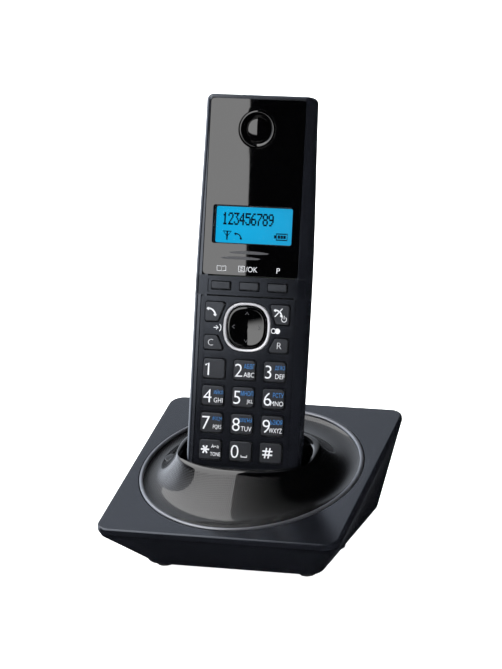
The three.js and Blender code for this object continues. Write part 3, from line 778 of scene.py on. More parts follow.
def sleeve(name, rgb):
    """Shrink sleeve of a cell, a lighter stripe along it."""
    finish = Finish(name, 0.4)
    stripe = finish.maths("SINE", finish.maths("MULTIPLY", finish.coordinates()["Z"], 900.0))
    finish.feed("Base Color", finish.colours(finish.spread(stripe, 0, 1, 0.55, 0.7), rgb, (0.6, 0.62, 0.6)))
    wrinkle = finish.noise(500.0, 3.0)
    finish.emboss(wrinkle, 0.3, 0.00003)
    return finish.material


FINISHES = {}


def make_finishes():
    """Every material of the telephone, by name."""
    values = bpy.context.scene.phone_finishes
    shell = tuple(values.shell)
    gloss = tuple(values.gloss)
    rim_height = bpy.context.scene.phone_base.rim_height
    FINISHES.update(
        shell=moulded("shell_plastic", shell, values.shell_roughness),
        base_shell=moulded("base_plastic", shell, values.shell_roughness + 0.02, 0.0004, 0.000002),
        gloss=polished("gloss_black", gloss, values.gloss_roughness),
        dish=dotted_dish("dish_black", gloss, values.gloss_roughness, rim_height),
        key=moulded("key_plastic", tuple(values.key), 0.2, 0.00025, 0.000003, 0.35),
        panel=moulded("panel_plastic", tinted(shell, 0.8), 0.12, 0.0003, 0.000003, 0.25),
        ring=satin_ring("grey_trim", tuple(values.ring), 0.34),
        chrome=satin_ring("chrome_trim", tuple(values.chrome), 0.3, 0.3),
        white_ink=printed("white_ink", tuple(values.white_ink)),
        # Grey print of the navigator's arrows, and painted sheen on the cover's grooves.
        grey_ink=printed("grey_ink", (0.035, 0.036, 0.04)),
        blue_ink=printed("blue_ink", tuple(values.blue_ink)),
        screen=lit_screen("screen", tuple(values.screen), tuple(values.screen_far), WINDOW_HALF_WIDTH),
        screen_ink=printed("screen_ink", tuple(values.screen_ink), 0.9, 0.0),
        window=clear_sheet("clear_window"),
        rubber=rubbery("rubber", tuple(values.rubber)),
        board=circuit("circuit_board", (0.001, 0.012, 0.005)),
        contact=plated("contact_metal", (0.78, 0.7, 0.5), 0.22, (1, 1, 12)),
        steel=plated("screw_steel", (0.5, 0.51, 0.53), 0.3),
        magnet=plated("magnet_steel", (0.16, 0.165, 0.17), 0.4),
        cell=sleeve("cell_sleeve", (0.03, 0.23, 0.09)),
    )


def finish_named(name):
    if not FINISHES:
        make_finishes()
    return FINISHES[name]


# ---- stage --------------------------------------------------------------------------------


def glowing(name, strength, fade):
    """Light-giving cloth that fades out towards its lower end."""
    material = bpy.data.materials.new(name)
    material.use_nodes = True
    tree = material.node_tree
    tree.nodes.clear()
    output = tree.nodes.new("ShaderNodeOutputMaterial")
    light = tree.nodes.new("ShaderNodeEmission")
    place = tree.nodes.new("ShaderNodeTexCoord")
    parts = tree.nodes.new("ShaderNodeSeparateXYZ")
    rise = tree.nodes.new("ShaderNodeMapRange")
    rise.interpolation_type = "SMOOTHSTEP"
    rise.inputs["From Min"].default_value = fade[0]
    rise.inputs["From Max"].default_value = fade[1]
    rise.inputs["To Max"].default_value = strength
    tree.links.new(place.outputs["Object"], parts.inputs["Vector"])
    tree.links.new(parts.outputs["Z"], rise.inputs["Value"])
    tree.links.new(rise.outputs["Result"], light.inputs["Strength"])
    tree.links.new(light.outputs["Emission"], output.inputs["Surface"])
    return material


AIM = Vector((-1.73, 9.54, 88.3)) * MM


def camera_back(stage):
    azimuth, elevation = stage.camera_azimuth, stage.camera_elevation
    return Vector((
        math.sin(azimuth) * math.cos(elevation),
        -math.cos(azimuth) * math.cos(elevation),
        math.sin(elevation),
    ))


def make_camera(stage):
    back = camera_back(stage)
    right = Vector((math.cos(stage.camera_azimuth), math.sin(stage.camera_azimuth), 0))
    up = back.cross(right)
    roll = stage.camera_roll
    rolled_right = right * math.cos(roll) + up * math.sin(roll)
    rolled_up = up * math.cos(roll) - right * math.sin(roll)
    data = bpy.data.cameras.new("camera")
    data.lens = stage.camera_lens
    data.sensor_fit = "AUTO"
    data.sensor_width = 36.0
    data.clip_start = 0.1
    data.clip_end = 50.0
    camera = linked("camera", data)
    spot = AIM + back * stage.camera_distance
    camera.matrix_world = placing(spot, rolled_right, rolled_up, back).normalized()
    bpy.context.scene.camera = camera


def make_sweep(stage):
    """White paper under the telephone, curving up into a wall all round it."""
    material = bpy.data.materials.new("paper_sweep")
    material.use_nodes = True
    shader = material.node_tree.nodes["Principled BSDF"]
    shader.inputs["Base Color"].default_value = (*stage.floor_colour, 1)
    shader.inputs["Roughness"].default_value = 0.9
    shader.inputs["Specular IOR Level"].default_value = 0.0
    shader.inputs["Emission Color"].default_value = (1, 1, 1, 1)
    shader.inputs["Emission Strength"].default_value = 0.93
    floor, bend, top = 2.4, 0.8, 3.6
    profile = [(0.0, 0.0), (floor, 0.0)]
    profile += [
        (floor + bend * math.sin(a), bend * (1 - math.cos(a)))
        for a in (math.radians(angle) for angle in range(10, 91, 10))
    ]
    profile.append((floor + bend, top))
    bm = bmesh.new()
    verts = [bm.verts.new((radius, 0, height)) for radius, height in profile]
    edges = [bm.edges.new(pair) for pair in zip(verts, verts[1:])]
    bmesh.ops.spin(bm, geom=verts + edges, cent=(0, 0, 0), axis=(0, 0, 1), dvec=(0, 0, 0),
                   angle=2 * math.pi, steps=64, use_merge=True)
    bmesh.ops.remove_doubles(bm, verts=bm.verts, dist=1e-4)
    mesh = mesh_of(bm, "paper_sweep")
    mesh.shade_smooth()
    mesh.materials.append(material)
    sweep = linked("paper_sweep", mesh)
    sweep.visible_glossy = False


SOFTBOX_CENTRE = Vector((0.0, 0.1))  # of its arc, in Y and Z
SOFTBOX_RADIUS = 1.1
SOFTBOX_WIDTH = 0.9
SOFTBOX_RISE = (13.0, 122.0)  # degrees above the horizon, from its lower edge to its upper edge
SOFTBOX_FADE = (0.36, 0.424)  # heights between which its lower end comes up to full light
SOFTBOX_STRENGTH = 4.6
SOFTBOX_STEPS = 24
MIRRORED_EDGE = Vector((-2.2, 0, 112))  # where the cover mirrors its right edge, in the handset's frame


def make_softbox(stage):
    """Bowed softbox at the left, its right edge mirrored down the middle of the display cover."""
    cover_spot = HANDSET @ MIRRORED_EDGE
    view = (cover_spot - AIM - camera_back(stage) * stage.camera_distance).normalized()
    out = -HANDSET_INWARD
    mirrored_view = view - 2 * view.dot(out) * out
    far = cover_spot + mirrored_view * 3
    hits = intersect_line_sphere_2d(cover_spot.yz, far.yz, SOFTBOX_CENTRE, SOFTBOX_RADIUS, True)
    hit = next(point for point in hits if point)
    share = (hit.x - cover_spot.y) / (far.y - cover_spot.y)
    edge = cover_spot.x + (far.x - cover_spot.x) * share
    bm = bmesh.new()
    verts = []
    low, high = SOFTBOX_RISE
    for i in range(SOFTBOX_STEPS + 1):
        angle = math.radians(low + (high - low) * i / SOFTBOX_STEPS)
        spot = SOFTBOX_CENTRE + Vector((-math.cos(angle), math.sin(angle))) * SOFTBOX_RADIUS
        verts.append(bm.verts.new((edge, spot.x, spot.y)))
    edges = [bm.edges.new(pair) for pair in zip(verts, verts[1:])]
    spread = bmesh.ops.extrude_edge_only(bm, edges=edges)
    bmesh.ops.translate(bm, verts=verts_in(spread), vec=(-SOFTBOX_WIDTH, 0, 0))
    mesh = mesh_of(bm, "softbox")
    mesh.materials.append(glowing("softbox_light", SOFTBOX_STRENGTH, SOFTBOX_FADE))
    box = linked("softbox", mesh)
    box.visible_camera = False


SURROUNDINGS = (  # direction, its spread as the dot products of the dark and of the bright end, strength
    (Vector((-0.8, 0.52, 0.3)), 0.42, 0.95, 1.25),
    (Vector((-0.92, 0.3, 0.16)), 0.83, 0.98, 2.3),
)


def make_surroundings():
    """What the glossy parts mirror: a bright wall and a lamp on the left, a dark room elsewhere."""
    world = bpy.data.worlds.new("studio")
    world.use_nodes = True
    tree = world.node_tree
    background = tree.nodes["Background"]
    place = tree.nodes.new("ShaderNodeTexCoord")
    total = tree.nodes.new("ShaderNodeValue")
    total.outputs["Value"].default_value = 0.004
    sum_so_far = total.outputs["Value"]
    for direction, dark, bright, strength in SURROUNDINGS:
        along = tree.nodes.new("ShaderNodeVectorMath")
        along.operation = "DOT_PRODUCT"
        along.inputs[1].default_value = direction.normalized()
        tree.links.new(place.outputs["Generated"], along.inputs[0])
        level = tree.nodes.new("ShaderNodeMapRange")
        level.interpolation_type = "SMOOTHSTEP"
        level.inputs["From Min"].default_value = dark
        level.inputs["From Max"].default_value = bright
        level.inputs["To Max"].default_value = strength
        tree.links.new(along.outputs["Value"], level.inputs["Value"])
        added = tree.nodes.new("ShaderNodeMath")
        added.operation = "ADD"
        tree.links.new(sum_so_far, added.inputs[0])
        tree.links.new(level.outputs["Result"], added.inputs[1])
        sum_so_far = added.outputs["Value"]
    tree.links.new(sum_so_far, background.inputs["Strength"])
    background.inputs["Color"].default_value = (0.84, 0.9, 1.0, 1)
    bpy.context.scene.world = world


class PHONE_OT_stage(Operator):
    """Sets up the camera, the paper sweep, the softbox and the surroundings"""

    bl_idname = "phone.stage"
    bl_label = "Stage"

    def execute(self, context):
        stage = context.scene.phone_stage
        context.scene.view_settings.view_transform = "Standard"
        make_camera(stage)
        make_sweep(stage)
        make_softbox(stage)
        make_surroundings()
        return {"FINISHED"}


# ---- base ---------------------------------------------------------------------------------


def plate_outline(sizes, shrink=0.0, arc_steps=8, side_steps=32):
    half = in_mm(sizes.plate_half_width) - shrink
    reach = in_mm(sizes.plate_depth) / 2 - shrink
    corner = in_mm(sizes.plate_corner) - shrink / 2
    return rounded_rectangle(half, -reach, reach, corner, 0.0, arc_steps, side_steps)


def at_height(outline, height):
    return [Vector((point.x, point.y, height)) for point in outline]


def facing(outline, radius):
    """A circle's points in line with those of an outline."""
    return [point.normalized() * radius for point in outline]


def rounded_edging(top, low, thickness):
    """How far in, and how high, the loops down a rounded edge of a plate are."""
    turns = [math.radians(angle) for angle in range(0, 91, 15)]
    loops = [(top * (1 - math.sin(a)), -top * (1 - math.cos(a))) for a in turns]
    return loops + [(low * (1 - math.cos(a)), low * (1 - math.sin(a)) - thickness) for a in turns]


class PHONE_OT_top_cover(Operator):
    """Builds the tilted square plate, the trim ring and the locator button"""

    bl_idname = "phone.top_cover"
    bl_label = "Top Cover"

    def execute(self, context):
        sizes = context.scene.phone_base
        outline = plate_outline(sizes)
        thickness = in_mm(sizes.plate_thickness)
        hole = in_mm(sizes.ring_outer) + 0.28
        edging = rounded_edging(in_mm(sizes.plate_lip), 0.7, thickness)
        walls = [at_height(plate_outline(sizes, shrink), height) for shrink, height in edging]
        wall = lofted(walls, False, False)
        opening = lofted([
            at_height(facing(outline, hole + 0.2), 0),
            at_height(facing(outline, hole + 0.06), -0.06),
            at_height(facing(outline, hole), -0.2),
            at_height(facing(outline, hole), -thickness),
        ], False, False)
        bm = joined(wall, opening)
        for height in (0, -thickness):
            rims = [
                edge for edge in bm.edges
                if edge.is_boundary and all(abs(vert.co.z - height) < 1e-4 for vert in edge.verts)
            ]
            bmesh.ops.triangle_fill(bm, edges=rims, use_beauty=True)
        bmesh.ops.recalc_face_normals(bm, faces=bm.faces)
        add_piece(bm, "base_cover", PLATE, "base_shell", "base", "base_top_cover")
        inner, outer = in_mm(sizes.ring_inner), in_mm(sizes.ring_outer)
        ring = turned([
            (inner, -0.8), (inner, -0.05), (inner + 0.1, 0.2), (inner + 0.3, 0.42), (inner + 0.6, 0.55),
            (inner + 0.95, 0.6), (outer - 0.55, 0.54), (outer - 0.2, 0.36), (outer, 0.05), (outer, -0.8),
        ], 192, ring=True)
        add_piece(ring, "trim_ring", PLATE, "ring", "base", "dish_trim_ring", 40)
        radius = BUTTON_RADIUS
        button = turned([
            (0, -2.2), (radius, -2.2), (radius, 0.45), (radius - 0.15, 0.68), (radius - 0.45, 0.8),
            (radius * 0.6, 0.86), (radius * 0.3, 0.89), (0, 0.9),
        ], 48, (BUTTON_X, BUTTON_S, 0))
        add_piece(button, "locator_button_cap", PLATE, "gloss", "locator_button", "locator_button", 40)
        return {"FINISHED"}


DISH_ANGLES = [2 * math.pi * i / 192 for i in range(192)]
DISH_ROWS, CREST_ROWS, WELL_ROWS = 30, 10, 8
LIP_DROP = 0.7  # from the rim to where the well's straight wall starts
DISH_FALL = [  # curve from the rim to the ring: share of the way, height above the plate
    Vector((0.0, 9.24)), Vector((0.18, 4.3)), Vector((0.62, -3.4)), Vector((1.0, -0.35)),
]


def well_spot(angle, shrink=0.0):
    """Point of the cradle's wall in the handset's frame, at its zero height."""
    c, s = math.cos(angle), math.sin(angle)
    exponent = WELL_FRONT_EXPONENT if s < 0 else WELL_BACK_EXPONENT
    half_depth = (WELL_MIDDLE - WELL_NEAR if s < 0 else WELL_FAR - WELL_MIDDLE) - shrink
    total = abs(c / (WELL_HALF_WIDTH - shrink)) ** exponent + abs(s / half_depth) ** exponent
    reach = total ** (-1 / exponent)
    return Vector((c * reach, WELL_MIDDLE + s * reach, 0))


def well_height(angle, plate_height, shrink=0.0):
    """Height in the handset's frame at which the cradle's wall has a height above the plate."""
    local = well_spot(angle, shrink)
    start = HANDSET_IN_PLATE @ local
    rise = (HANDSET_IN_PLATE @ (local + Vector((0, 0, 1)))).z - start.z
    return (plate_height - start.z) / rise


def well_point(angle, height, shrink=0.0):
    """Point of the cradle's wall in the plate's frame, at a height in the handset's frame."""
    return HANDSET_IN_PLATE @ (well_spot(angle, shrink) + Vector((0, 0, height)))


def between(start, end, share, height):
    """Loop part of the way from one loop to another, laid at a height."""
    ring = []
    for near, far in zip(start, end):
        point = near.lerp(far, share)
        ring.append(Vector((point.x, point.y, height)))
    return ring


def rim_point(angle, rim_height):
    c, s = math.cos(angle), math.sin(angle)
    total = abs(c / RIM_HALF_WIDTH) ** RIM_EXPONENT + abs(s / RIM_HALF_DEPTH) ** RIM_EXPONENT
    reach = total ** (-1 / RIM_EXPONENT)
    return Vector((c * reach, RIM_CENTRE + s * reach, rim_height))


class PHONE_OT_cradle(Operator):
    """Builds the glossy dish with its cradle, and the charging terminals"""

    bl_idname = "phone.cradle"
    bl_label = "Cradle Dish"

    def execute(self, context):
        sizes = context.scene.phone_base
        bm = lofted(self.under_side(sizes) + self.upper_side(sizes))
        bm = carved(bm, [rod(BUTTON_RADIUS + 0.25, -4, 8, (BUTTON_X, BUTTON_S, 0), steps=48)])
        add_piece(bm, "cradle_bowl", PLATE, "dish", "base", "cradle_dish", 60)
        for side, hand in HANDS:
            x = side * CHARGE_X
            low = (x - 1.2, CHARGE_Y - 1.8, WELL_FLOOR - 5)
            terminal = block(low, (x + 1.2, CHARGE_Y + 1.8, WELL_FLOOR + 0.3), 0.22, 3)
            add_piece(terminal, f"terminal_{hand}", HANDSET, "contact", "base", f"charge_terminal_{hand}")
        return {"FINISHED"}

    @staticmethod
    def loops(sizes):
        """The rim of the cradle and the edge of the dish."""
        edge_radius = in_mm(sizes.ring_inner) - 0.1
        rims = [rim_point(angle, in_mm(sizes.rim_height)) for angle in DISH_ANGLES]
        edge = [Vector((math.cos(angle), math.sin(angle), 0)) * edge_radius for angle in DISH_ANGLES]
        return rims, edge

    def upper_side(self, sizes):
        """Loops from the dish's edge up to the rim, over it and down to the floor of the well."""
        rims, edge = self.loops(sizes)
        rim_height = in_mm(sizes.rim_height)
        fall = interpolate_bezier(*DISH_FALL, DISH_ROWS)
        rings = [between(rims, edge, share, height) for share, height, *_ in reversed(fall)]
        tops = [well_height(angle, rim_height - LIP_DROP) for angle in DISH_ANGLES]
        openings = [well_point(angle, top) for angle, top in zip(DISH_ANGLES, tops)]
        for step in range(1, CREST_ROWS):
            t = step / CREST_ROWS
            lift = 0.55 * math.sin(math.pi * t) ** 0.7 - LIP_DROP * t ** 3
            rings.append(between(rims, openings, t, rim_height + lift))
        for row in range(WELL_ROWS):
            share = row / (WELL_ROWS - 1)
            rings.append([
                well_point(angle, top + (WELL_FLOOR + 1.0 - top) * share)
                for angle, top in zip(DISH_ANGLES, tops)
            ])
        for shrink, level in ((0.3, 0.3), (1.0, 0.0)):
            rings.append([well_point(angle, WELL_FLOOR + level, shrink) for angle in DISH_ANGLES])
        return rings

    def under_side(self, sizes):
        """Loops from under the floor of the well up and out to the dish's edge."""
        rims, edge = self.loops(sizes)
        wall = in_mm(sizes.dish_wall)
        under = [
            [well_point(angle, WELL_FLOOR - wall, 0.2) for angle in DISH_ANGLES],
            [well_point(angle, WELL_FLOOR + 1, -wall) for angle in DISH_ANGLES],
            [well_point(angle, well_height(angle, 2.0, -wall), -wall) for angle in DISH_ANGLES],
        ]
        for share, height in ((0.3, 0.9), (0.6, -2.0), (0.9, -2.6)):
            under.append(between(rims, edge, share, height))
        under.append(at_height(edge, -1.6))
        return under


def footprint(shrink=0.0):
    front, back = FOOT_FRONT + shrink, FOOT_BACK - shrink
    return rounded_rectangle(FOOT_HALF_WIDTH - shrink, front, back, FOOT_CORNER - shrink / 2, 0.0, 8, 4)


def plate_in_row(sizes, shrink, height):
    outline = plate_outline(sizes, shrink, 8, 4)
    return [PLATE_IN_ROW @ point for point in at_height(outline, height)]


def tapered_body(sizes, shrink, seat, floor, edging):
    """Body that narrows from the plate to its footprint, in the row's millimetres."""
    rings = [plate_in_row(sizes, shrink + inset, seat + drop) for inset, drop in edging]
    top = plate_in_row(sizes, shrink + 0.8, seat - 1.5)
    bottom = at_height(footprint(shrink), floor + 1.6)
    rows = 6
    for row in range(rows + 1):
        rings.append([a.lerp(b, row / rows) for a, b in zip(top, bottom)])
    rings.append(at_height(footprint(shrink + 0.25), floor + 0.75))
    rings.append(at_height(footprint(shrink + 0.8), floor + 0.22))
    rings.append(at_height(footprint(shrink + 1.6), floor))
    bm = lofted(rings)
    return bm


class PHONE_OT_bottom_case(Operator):
    """Builds the lower case, its feet, screws and wall-mount slots"""

    bl_idname = "phone.bottom_case"
    bl_label = "Bottom Case"

    def execute(self, context):
        sizes = context.scene.phone_base
        seat = -in_mm(sizes.plate_thickness) - 0.15
        bead = [
            (1.6, 0.0), (1.6, -0.45), (0.85, -0.5), (0.6, -0.68), (0.6, -0.95), (0.85, -1.15), (1.25, -1.2),
        ]
        body = tapered_body(sizes, 0.0, seat, BODY_BOTTOM, bead)
        hollow = tapered_body(sizes, 2.2, seat + 4.0, BODY_BOTTOM + 2.2, [(0, 0)])
        cutters = [hollow]
        for x in (DC_X, LINE_X):
            half = JACK_WIDTH / 2 + 0.4
            low = (x - half, JACK_FRONT, JACK_LOW - 0.4)
            cutters.append(block(low, (x + half, FAR, JACK_LOW + JACK_HEIGHT + 0.4)))
        for x, y in FEET.values():
            for side in (-1, 1):
                cutters.append(rod(FOOT_RADIUS + 0.25, 0, 2.5, (side * x, y, 0), steps=40))
        for x, y in BASE_SCREWS:
            for side in (-1, 1):
                cutters.append(rod(2.6, 0, 3.0, (side * x, y, 0), steps=32))
        for side in (-1, 1):
            cutters.append(rod(3.4, 0, 3.2, (side * 12, 6, 0), steps=32))
            cutters.append(column(rounded_rectangle(1.6, 6, 14, 1.55, side * 12), 0, 3.2))
        body = carved(body, cutters)
        add_piece(body, "bottom_shell", ROW, "base_shell", "base", "base_bottom_case", 30)
        radius = FOOT_RADIUS
        for place, (x, y) in FEET.items():
            for side, hand in HANDS:
                foot = turned([
                    (0, 0.15), (radius - 0.9, 0.15), (radius - 0.75, 0.0), (radius - 0.35, 0.05),
                    (radius - 0.08, 0.3), (radius, 0.6), (radius, 2.2), (0, 2.2),
                ], 48, (side * x, y, 0))
                node = f"foot_{place}_{hand}"
                add_piece(foot, f"rubber_{node}", ROW, "rubber", "base", node, 40)
        for row, (x, y) in enumerate(BASE_SCREWS):
            for side, hand in HANDS:
                screw = cross_screw(2.1, 0.9, 1.0, (side * x, y, 3.2), math.pi)
                add_piece(screw, f"base_screw_{row}_{hand}", ROW, "steel", "base")
        return {"FINISHED"}


def cross_screw(radius, dome, shank, spot, tilt):
    """Screw head with a cross recess, its top along +Z before it is tilted about X."""
    bm = turned([
        (0, -shank), (radius * 0.45, -shank), (radius * 0.45, 0), (radius, 0), (radius, dome * 0.35),
        (radius * 0.8, dome * 0.8), (radius * 0.4, dome * 0.97), (0, dome),
    ], 32)
    arm, blade = radius * 0.62, radius * 0.14
    cuts = [
        block((-arm, -blade, dome * 0.35), (arm, blade, dome * 2)),
        block((-blade, -arm, dome * 0.35), (blade, arm, dome * 2)),
    ]
    screw = carved(bm, cuts)
    matrix = Matrix.Translation(spot) @ Matrix.Rotation(tilt, 4, "X")
    bmesh.ops.transform(screw, verts=screw.verts, matrix=matrix)
    return screw


class PHONE_OT_sockets(Operator):
    """Builds the power and line sockets in the back of the base"""

    bl_idname = "phone.sockets"
    bl_label = "Sockets"

    def execute(self, context):
        z = JACK_LOW + JACK_HEIGHT / 2
        half = JACK_WIDTH / 2
        high_z = JACK_LOW + JACK_HEIGHT
        power = block((DC_X - half, JACK_FRONT, JACK_LOW), (DC_X + half, JACK_BACK, high_z), 0.35, 3)
        power = carved(power, [
            rod(3.0, -9.2, 5, (DC_X, JACK_BACK, z), (0, 1, 0), 48),
            turned([(0, -0.45), (3.05, -0.45), (3.6, 0.1), (0, 0.1)], 48, (DC_X, JACK_BACK, z), (0, 1, 0)),
        ])
        add_piece(power, "power_socket", ROW, "shell", "base", "dc_jack")
        pin = rod(0.8, -10, -1.1, (DC_X, JACK_BACK, z), (0, 1, 0), 24, 0.3)
        add_piece(pin, "power_pin", ROW, "contact", "base")
        line = block((LINE_X - half, JACK_FRONT, JACK_LOW), (LINE_X + half, JACK_BACK, high_z), 0.35, 3)
        line = carved(line, [
            block((LINE_X - 3.6, JACK_BACK - 9.5, z - 3.2), (LINE_X + 3.6, FAR, z + 3.2)),
            block((LINE_X - 1.8, JACK_BACK - 9.5, z - 4.6), (LINE_X + 1.8, FAR, z)),
        ])
        add_piece(line, "line_socket_body", ROW, "shell", "base", "line_jack")
        springs = []
        for i in range(4):
            x = LINE_X + (i - 1.5) * 1.02
            low = (x - 0.16, JACK_BACK - 9.3, z + 1.6)
            wire = block(low, (x + 0.16, JACK_BACK - 1.6, z + 1.95), 0.1, 2)
            bmesh.ops.rotate(wire, verts=wire.verts, cent=(x, JACK_BACK - 9.3, z + 1.9),
                             matrix=Matrix.Rotation(math.radians(-11), 3, "X"))
            springs.append(wire)
        add_piece(joined(*springs), "line_springs", ROW, "contact", "base")
        return {"FINISHED"}


# ---- handset cases ------------------------------------------------------------------------


def back_depth(height):
    """Depth of the handset's back at a height: a curve through a few places."""
    last = len(CASE_BACK) - 1
    i = 0
    while i < last - 1 and height > CASE_BACK[i + 1][0]:
        i += 1
    (z1, d1), (z2, d2) = CASE_BACK[i], CASE_BACK[i + 1]
    d0 = CASE_BACK[i - 1][1] if i > 0 else d1
    d3 = CASE_BACK[i + 2][1] if i < last - 1 else d2
    t = min(max((height - z1) / (z2 - z1), 0.0), 1.0)
    a, b = (d2 - d0) / 2, (d3 - d1) / 2
    return (2 * d1 - 2 * d2 + a + b) * t ** 3 + (-3 * d1 + 3 * d2 - 2 * a - b) * t ** 2 + a * t + d1


def half_width(sizes, height):
    top = in_mm(sizes.top)
    t = min(max((height - CASE_TAPER_START) / (top - CASE_TAPER_START), 0.0), 1.0)
    wide, narrow = in_mm(sizes.half_width), in_mm(sizes.top_half_width)
    return wide + (narrow - wide) * t * t * (3 - 2 * t)


def case_section(sizes, height, inset):
    """Outline of the handset across its length, moved in by inset."""
    half = half_width(sizes, height) - inset
    depth = back_depth(height) - inset
    corner = max(CASE_FRONT_CORNER - inset, 0.5)
    side_end = max(CASE_SIDE_FLAT_TO, inset + corner + 0.2)
    right = []
    corner_steps, back_steps = 9, 26
    for i in range(corner_steps + 1):
        angle = math.pi / 2 * i / corner_steps
        right.append((half - corner + corner * math.sin(angle), inset + corner - corner * math.cos(angle)))
    for i in range(back_steps + 1):
        angle = math.pi / 2 * i / back_steps
        x = half * math.cos(angle) ** (2 / CASE_BACK_EXPONENT) if i < back_steps else 0.0
        y = side_end + (depth - side_end) * math.sin(angle) ** (2 / CASE_BACK_EXPONENT)
        right.append((x, y))
    left = [(-x, y) for x, y in reversed(right[:-1])]
    return [Vector((x, y, height)) for x, y in right + left]


def case_solid(sizes, inset=0.0, rows=44):
    """Solid handset with every wall moved in by inset and its ends rounded."""
    low = -in_mm(sizes.bottom_below) + inset
    high = in_mm(sizes.top) - inset
    end_round = max(CASE_END_ROUND - inset, 0.4)
    quarter = [math.pi / 2 * i / 6 for i in range(7)]
    ends = [(end_round * (1 - math.sin(a)), end_round * (1 - math.cos(a))) for a in quarter]
    sections = [(low + off, shrink) for off, shrink in reversed(ends)]
    span = high - low - 2 * end_round
    sections += [(low + end_round + span * i / rows, 0.0) for i in range(1, rows)]
    sections += [(high - off, shrink) for off, shrink in ends]
    bm = lofted([case_section(sizes, height, inset + shrink) for height, shrink in sections])
    return bm


def door_reach(growth, low_by=0.0):
    return block(
        (-DOOR_HALF_WIDTH - growth, DOOR_MIN_DEPTH - growth, DOOR_BOTTOM - growth - low_by),
        (DOOR_HALF_WIDTH + growth, FAR, DOOR_TOP + growth),
    )


class PHONE_OT_cases(Operator):
    """Builds the handset's front and rear cases, battery door, screws and charge contacts"""

    bl_idname = "phone.cases"
    bl_label = "Handset Cases"

    def execute(self, context):
        sizes = context.scene.phone_handset
        self.front_case(sizes)
        self.rear_case(sizes)
        self.battery_door(sizes)
        for side, hand in HANDS:
            spot = (side * SCREW_X, SCREW_HEAD_Y + 0.3, SCREW_Z)
            screw = cross_screw(2.5, 1.5, 7.0, spot, -math.pi / 2)
            add_piece(screw, f"rear_screw_{hand}", HANDSET, "steel", "handset", f"case_screw_{hand}")
            x, bottom = side * CHARGE_X, -in_mm(sizes.bottom_below)
            contact = block((x - 2.5, 10.2, bottom - 0.02), (x + 2.5, 14.7, bottom + 0.7), 0.3, 3)
            node = f"charge_contact_{hand}"
            add_piece(contact, f"charge_pad_{hand}", HANDSET, "contact", "handset", node)
        return {"FINISHED"}

    def front_case(self, sizes):
        ledge = INSERT_THICKNESS + GAP + 1.5
        body = case_solid(sizes)
        keep = block((-FAR, -2, -FAR), (FAR, CASE_SPLIT, 3 * FAR))
        body = carved(body, [keep], "INTERSECT")
        hollow = carved(case_solid(sizes, CASE_WALL),
                        [block((-FAR, ledge, -FAR), (FAR, CASE_SPLIT + 1, 3 * FAR))], "INTERSECT")
        recess = slab(rounded_rectangle(INSERT_HALF_WIDTH, PANEL_BOTTOM, COVER_TOP, 1.6), -1,
                      INSERT_THICKNESS + GAP)
        band_slot = block((-FAR, -1, BAND_BOTTOM), (FAR, INSERT_THICKNESS + GAP, BAND_TOP))
        opening = slab(rounded_rectangle(18.6, PANEL_BOTTOM + 3, COVER_TOP - 2, 2), 0, CASE_SPLIT)
        body = carved(body, [hollow, recess, band_slot, opening])
        add_piece(body, "front_shell", HANDSET, "shell", "handset", "handset_front_case", 28)

    def rear_case(self, sizes):
        step = DOOR_THICKNESS + GAP
        body = carved(case_solid(sizes), [
            case_solid(sizes, CASE_WALL),
            door_reach(GAP, DOOR_TRAVEL),
        ])
        shelf = carved(case_solid(sizes, step), [case_solid(sizes, step + CASE_WALL)])
        shelf = carved(shelf, [
            block((-DOOR_HALF_WIDTH - 3, DOOR_MIN_DEPTH - 3, 11),
                  (DOOR_HALF_WIDTH + 3, FAR, DOOR_BOTTOM + 1.5)),
        ], "INTERSECT")
        body = carved(body, [shelf], "UNION")
        posts = []
        for side in (-1, 1):
            post = rod(3.6, 9.5, 24.5, (side * SCREW_X, 0, SCREW_Z), (0, 1, 0), 32)
            posts.append(carved(post, [case_solid(sizes, 0.6)], "INTERSECT"))
        body = carved(body, posts, "UNION")
        cutters = [block((-FAR, -FAR, -FAR), (FAR, CASE_SPLIT + GAP, 3 * FAR))]
        for side in (-1, 1):
            spot = (side * SCREW_X, 0, SCREW_Z)
            cutters.append(rod(2.9, SCREW_HEAD_Y, SCREW_HEAD_Y + 20, spot, (0, 1, 0), 32))
            cutters.append(rod(1.4, 8, 22, spot, (0, 1, 0), 16))
            x, floor = side * CHARGE_X, -in_mm(sizes.bottom_below) + 1
            cutters.append(block((x - 2.8, 9.9, -12), (x + 2.8, 15, floor)))
        for z in (108, 112, 116):
            cutters.append(slab(rounded_rectangle(7, z - 0.7, z + 0.7, 0.65), 15, 40))
        body = carved(body, cutters)
        add_piece(body, "rear_shell", HANDSET, "shell", "handset", "handset_rear_case", 28)

    def battery_door(self, sizes):
        door = carved(case_solid(sizes), [case_solid(sizes, DOOR_THICKNESS)])
        door = carved(door, [door_reach(0.0)], "INTERSECT")
        grips = []
        for i in range(5):
            z = DOOR_TOP - 6 - i * 1.9
            depth = back_depth(z)
            grips.append(block((-7, depth - 0.35, z - 0.45), (7, depth + 3, z + 0.45)))
        door = carved(door, grips)
        add_piece(door, "battery_lid", HANDSET, "shell", "battery_door", "battery_door", 28)


# ---- display, band and ear piece ----------------------------------------------------------

DIGIT_DOTS = {  # seven rows of five dots each, a bit for each dot, for the display's numerals
    "1": (4, 12, 4, 4, 4, 4, 14), "2": (14, 17, 1, 2, 4, 8, 31), "3": (31, 2, 4, 2, 1, 17, 14),
    "4": (2, 6, 10, 18, 31, 2, 2), "5": (31, 16, 30, 1, 1, 17, 14), "6": (6, 8, 16, 30, 17, 17, 14),
    "7": (31, 1, 2, 4, 8, 8, 8), "8": (14, 17, 17, 14, 17, 17, 14), "9": (14, 17, 17, 15, 1, 2, 12),
}


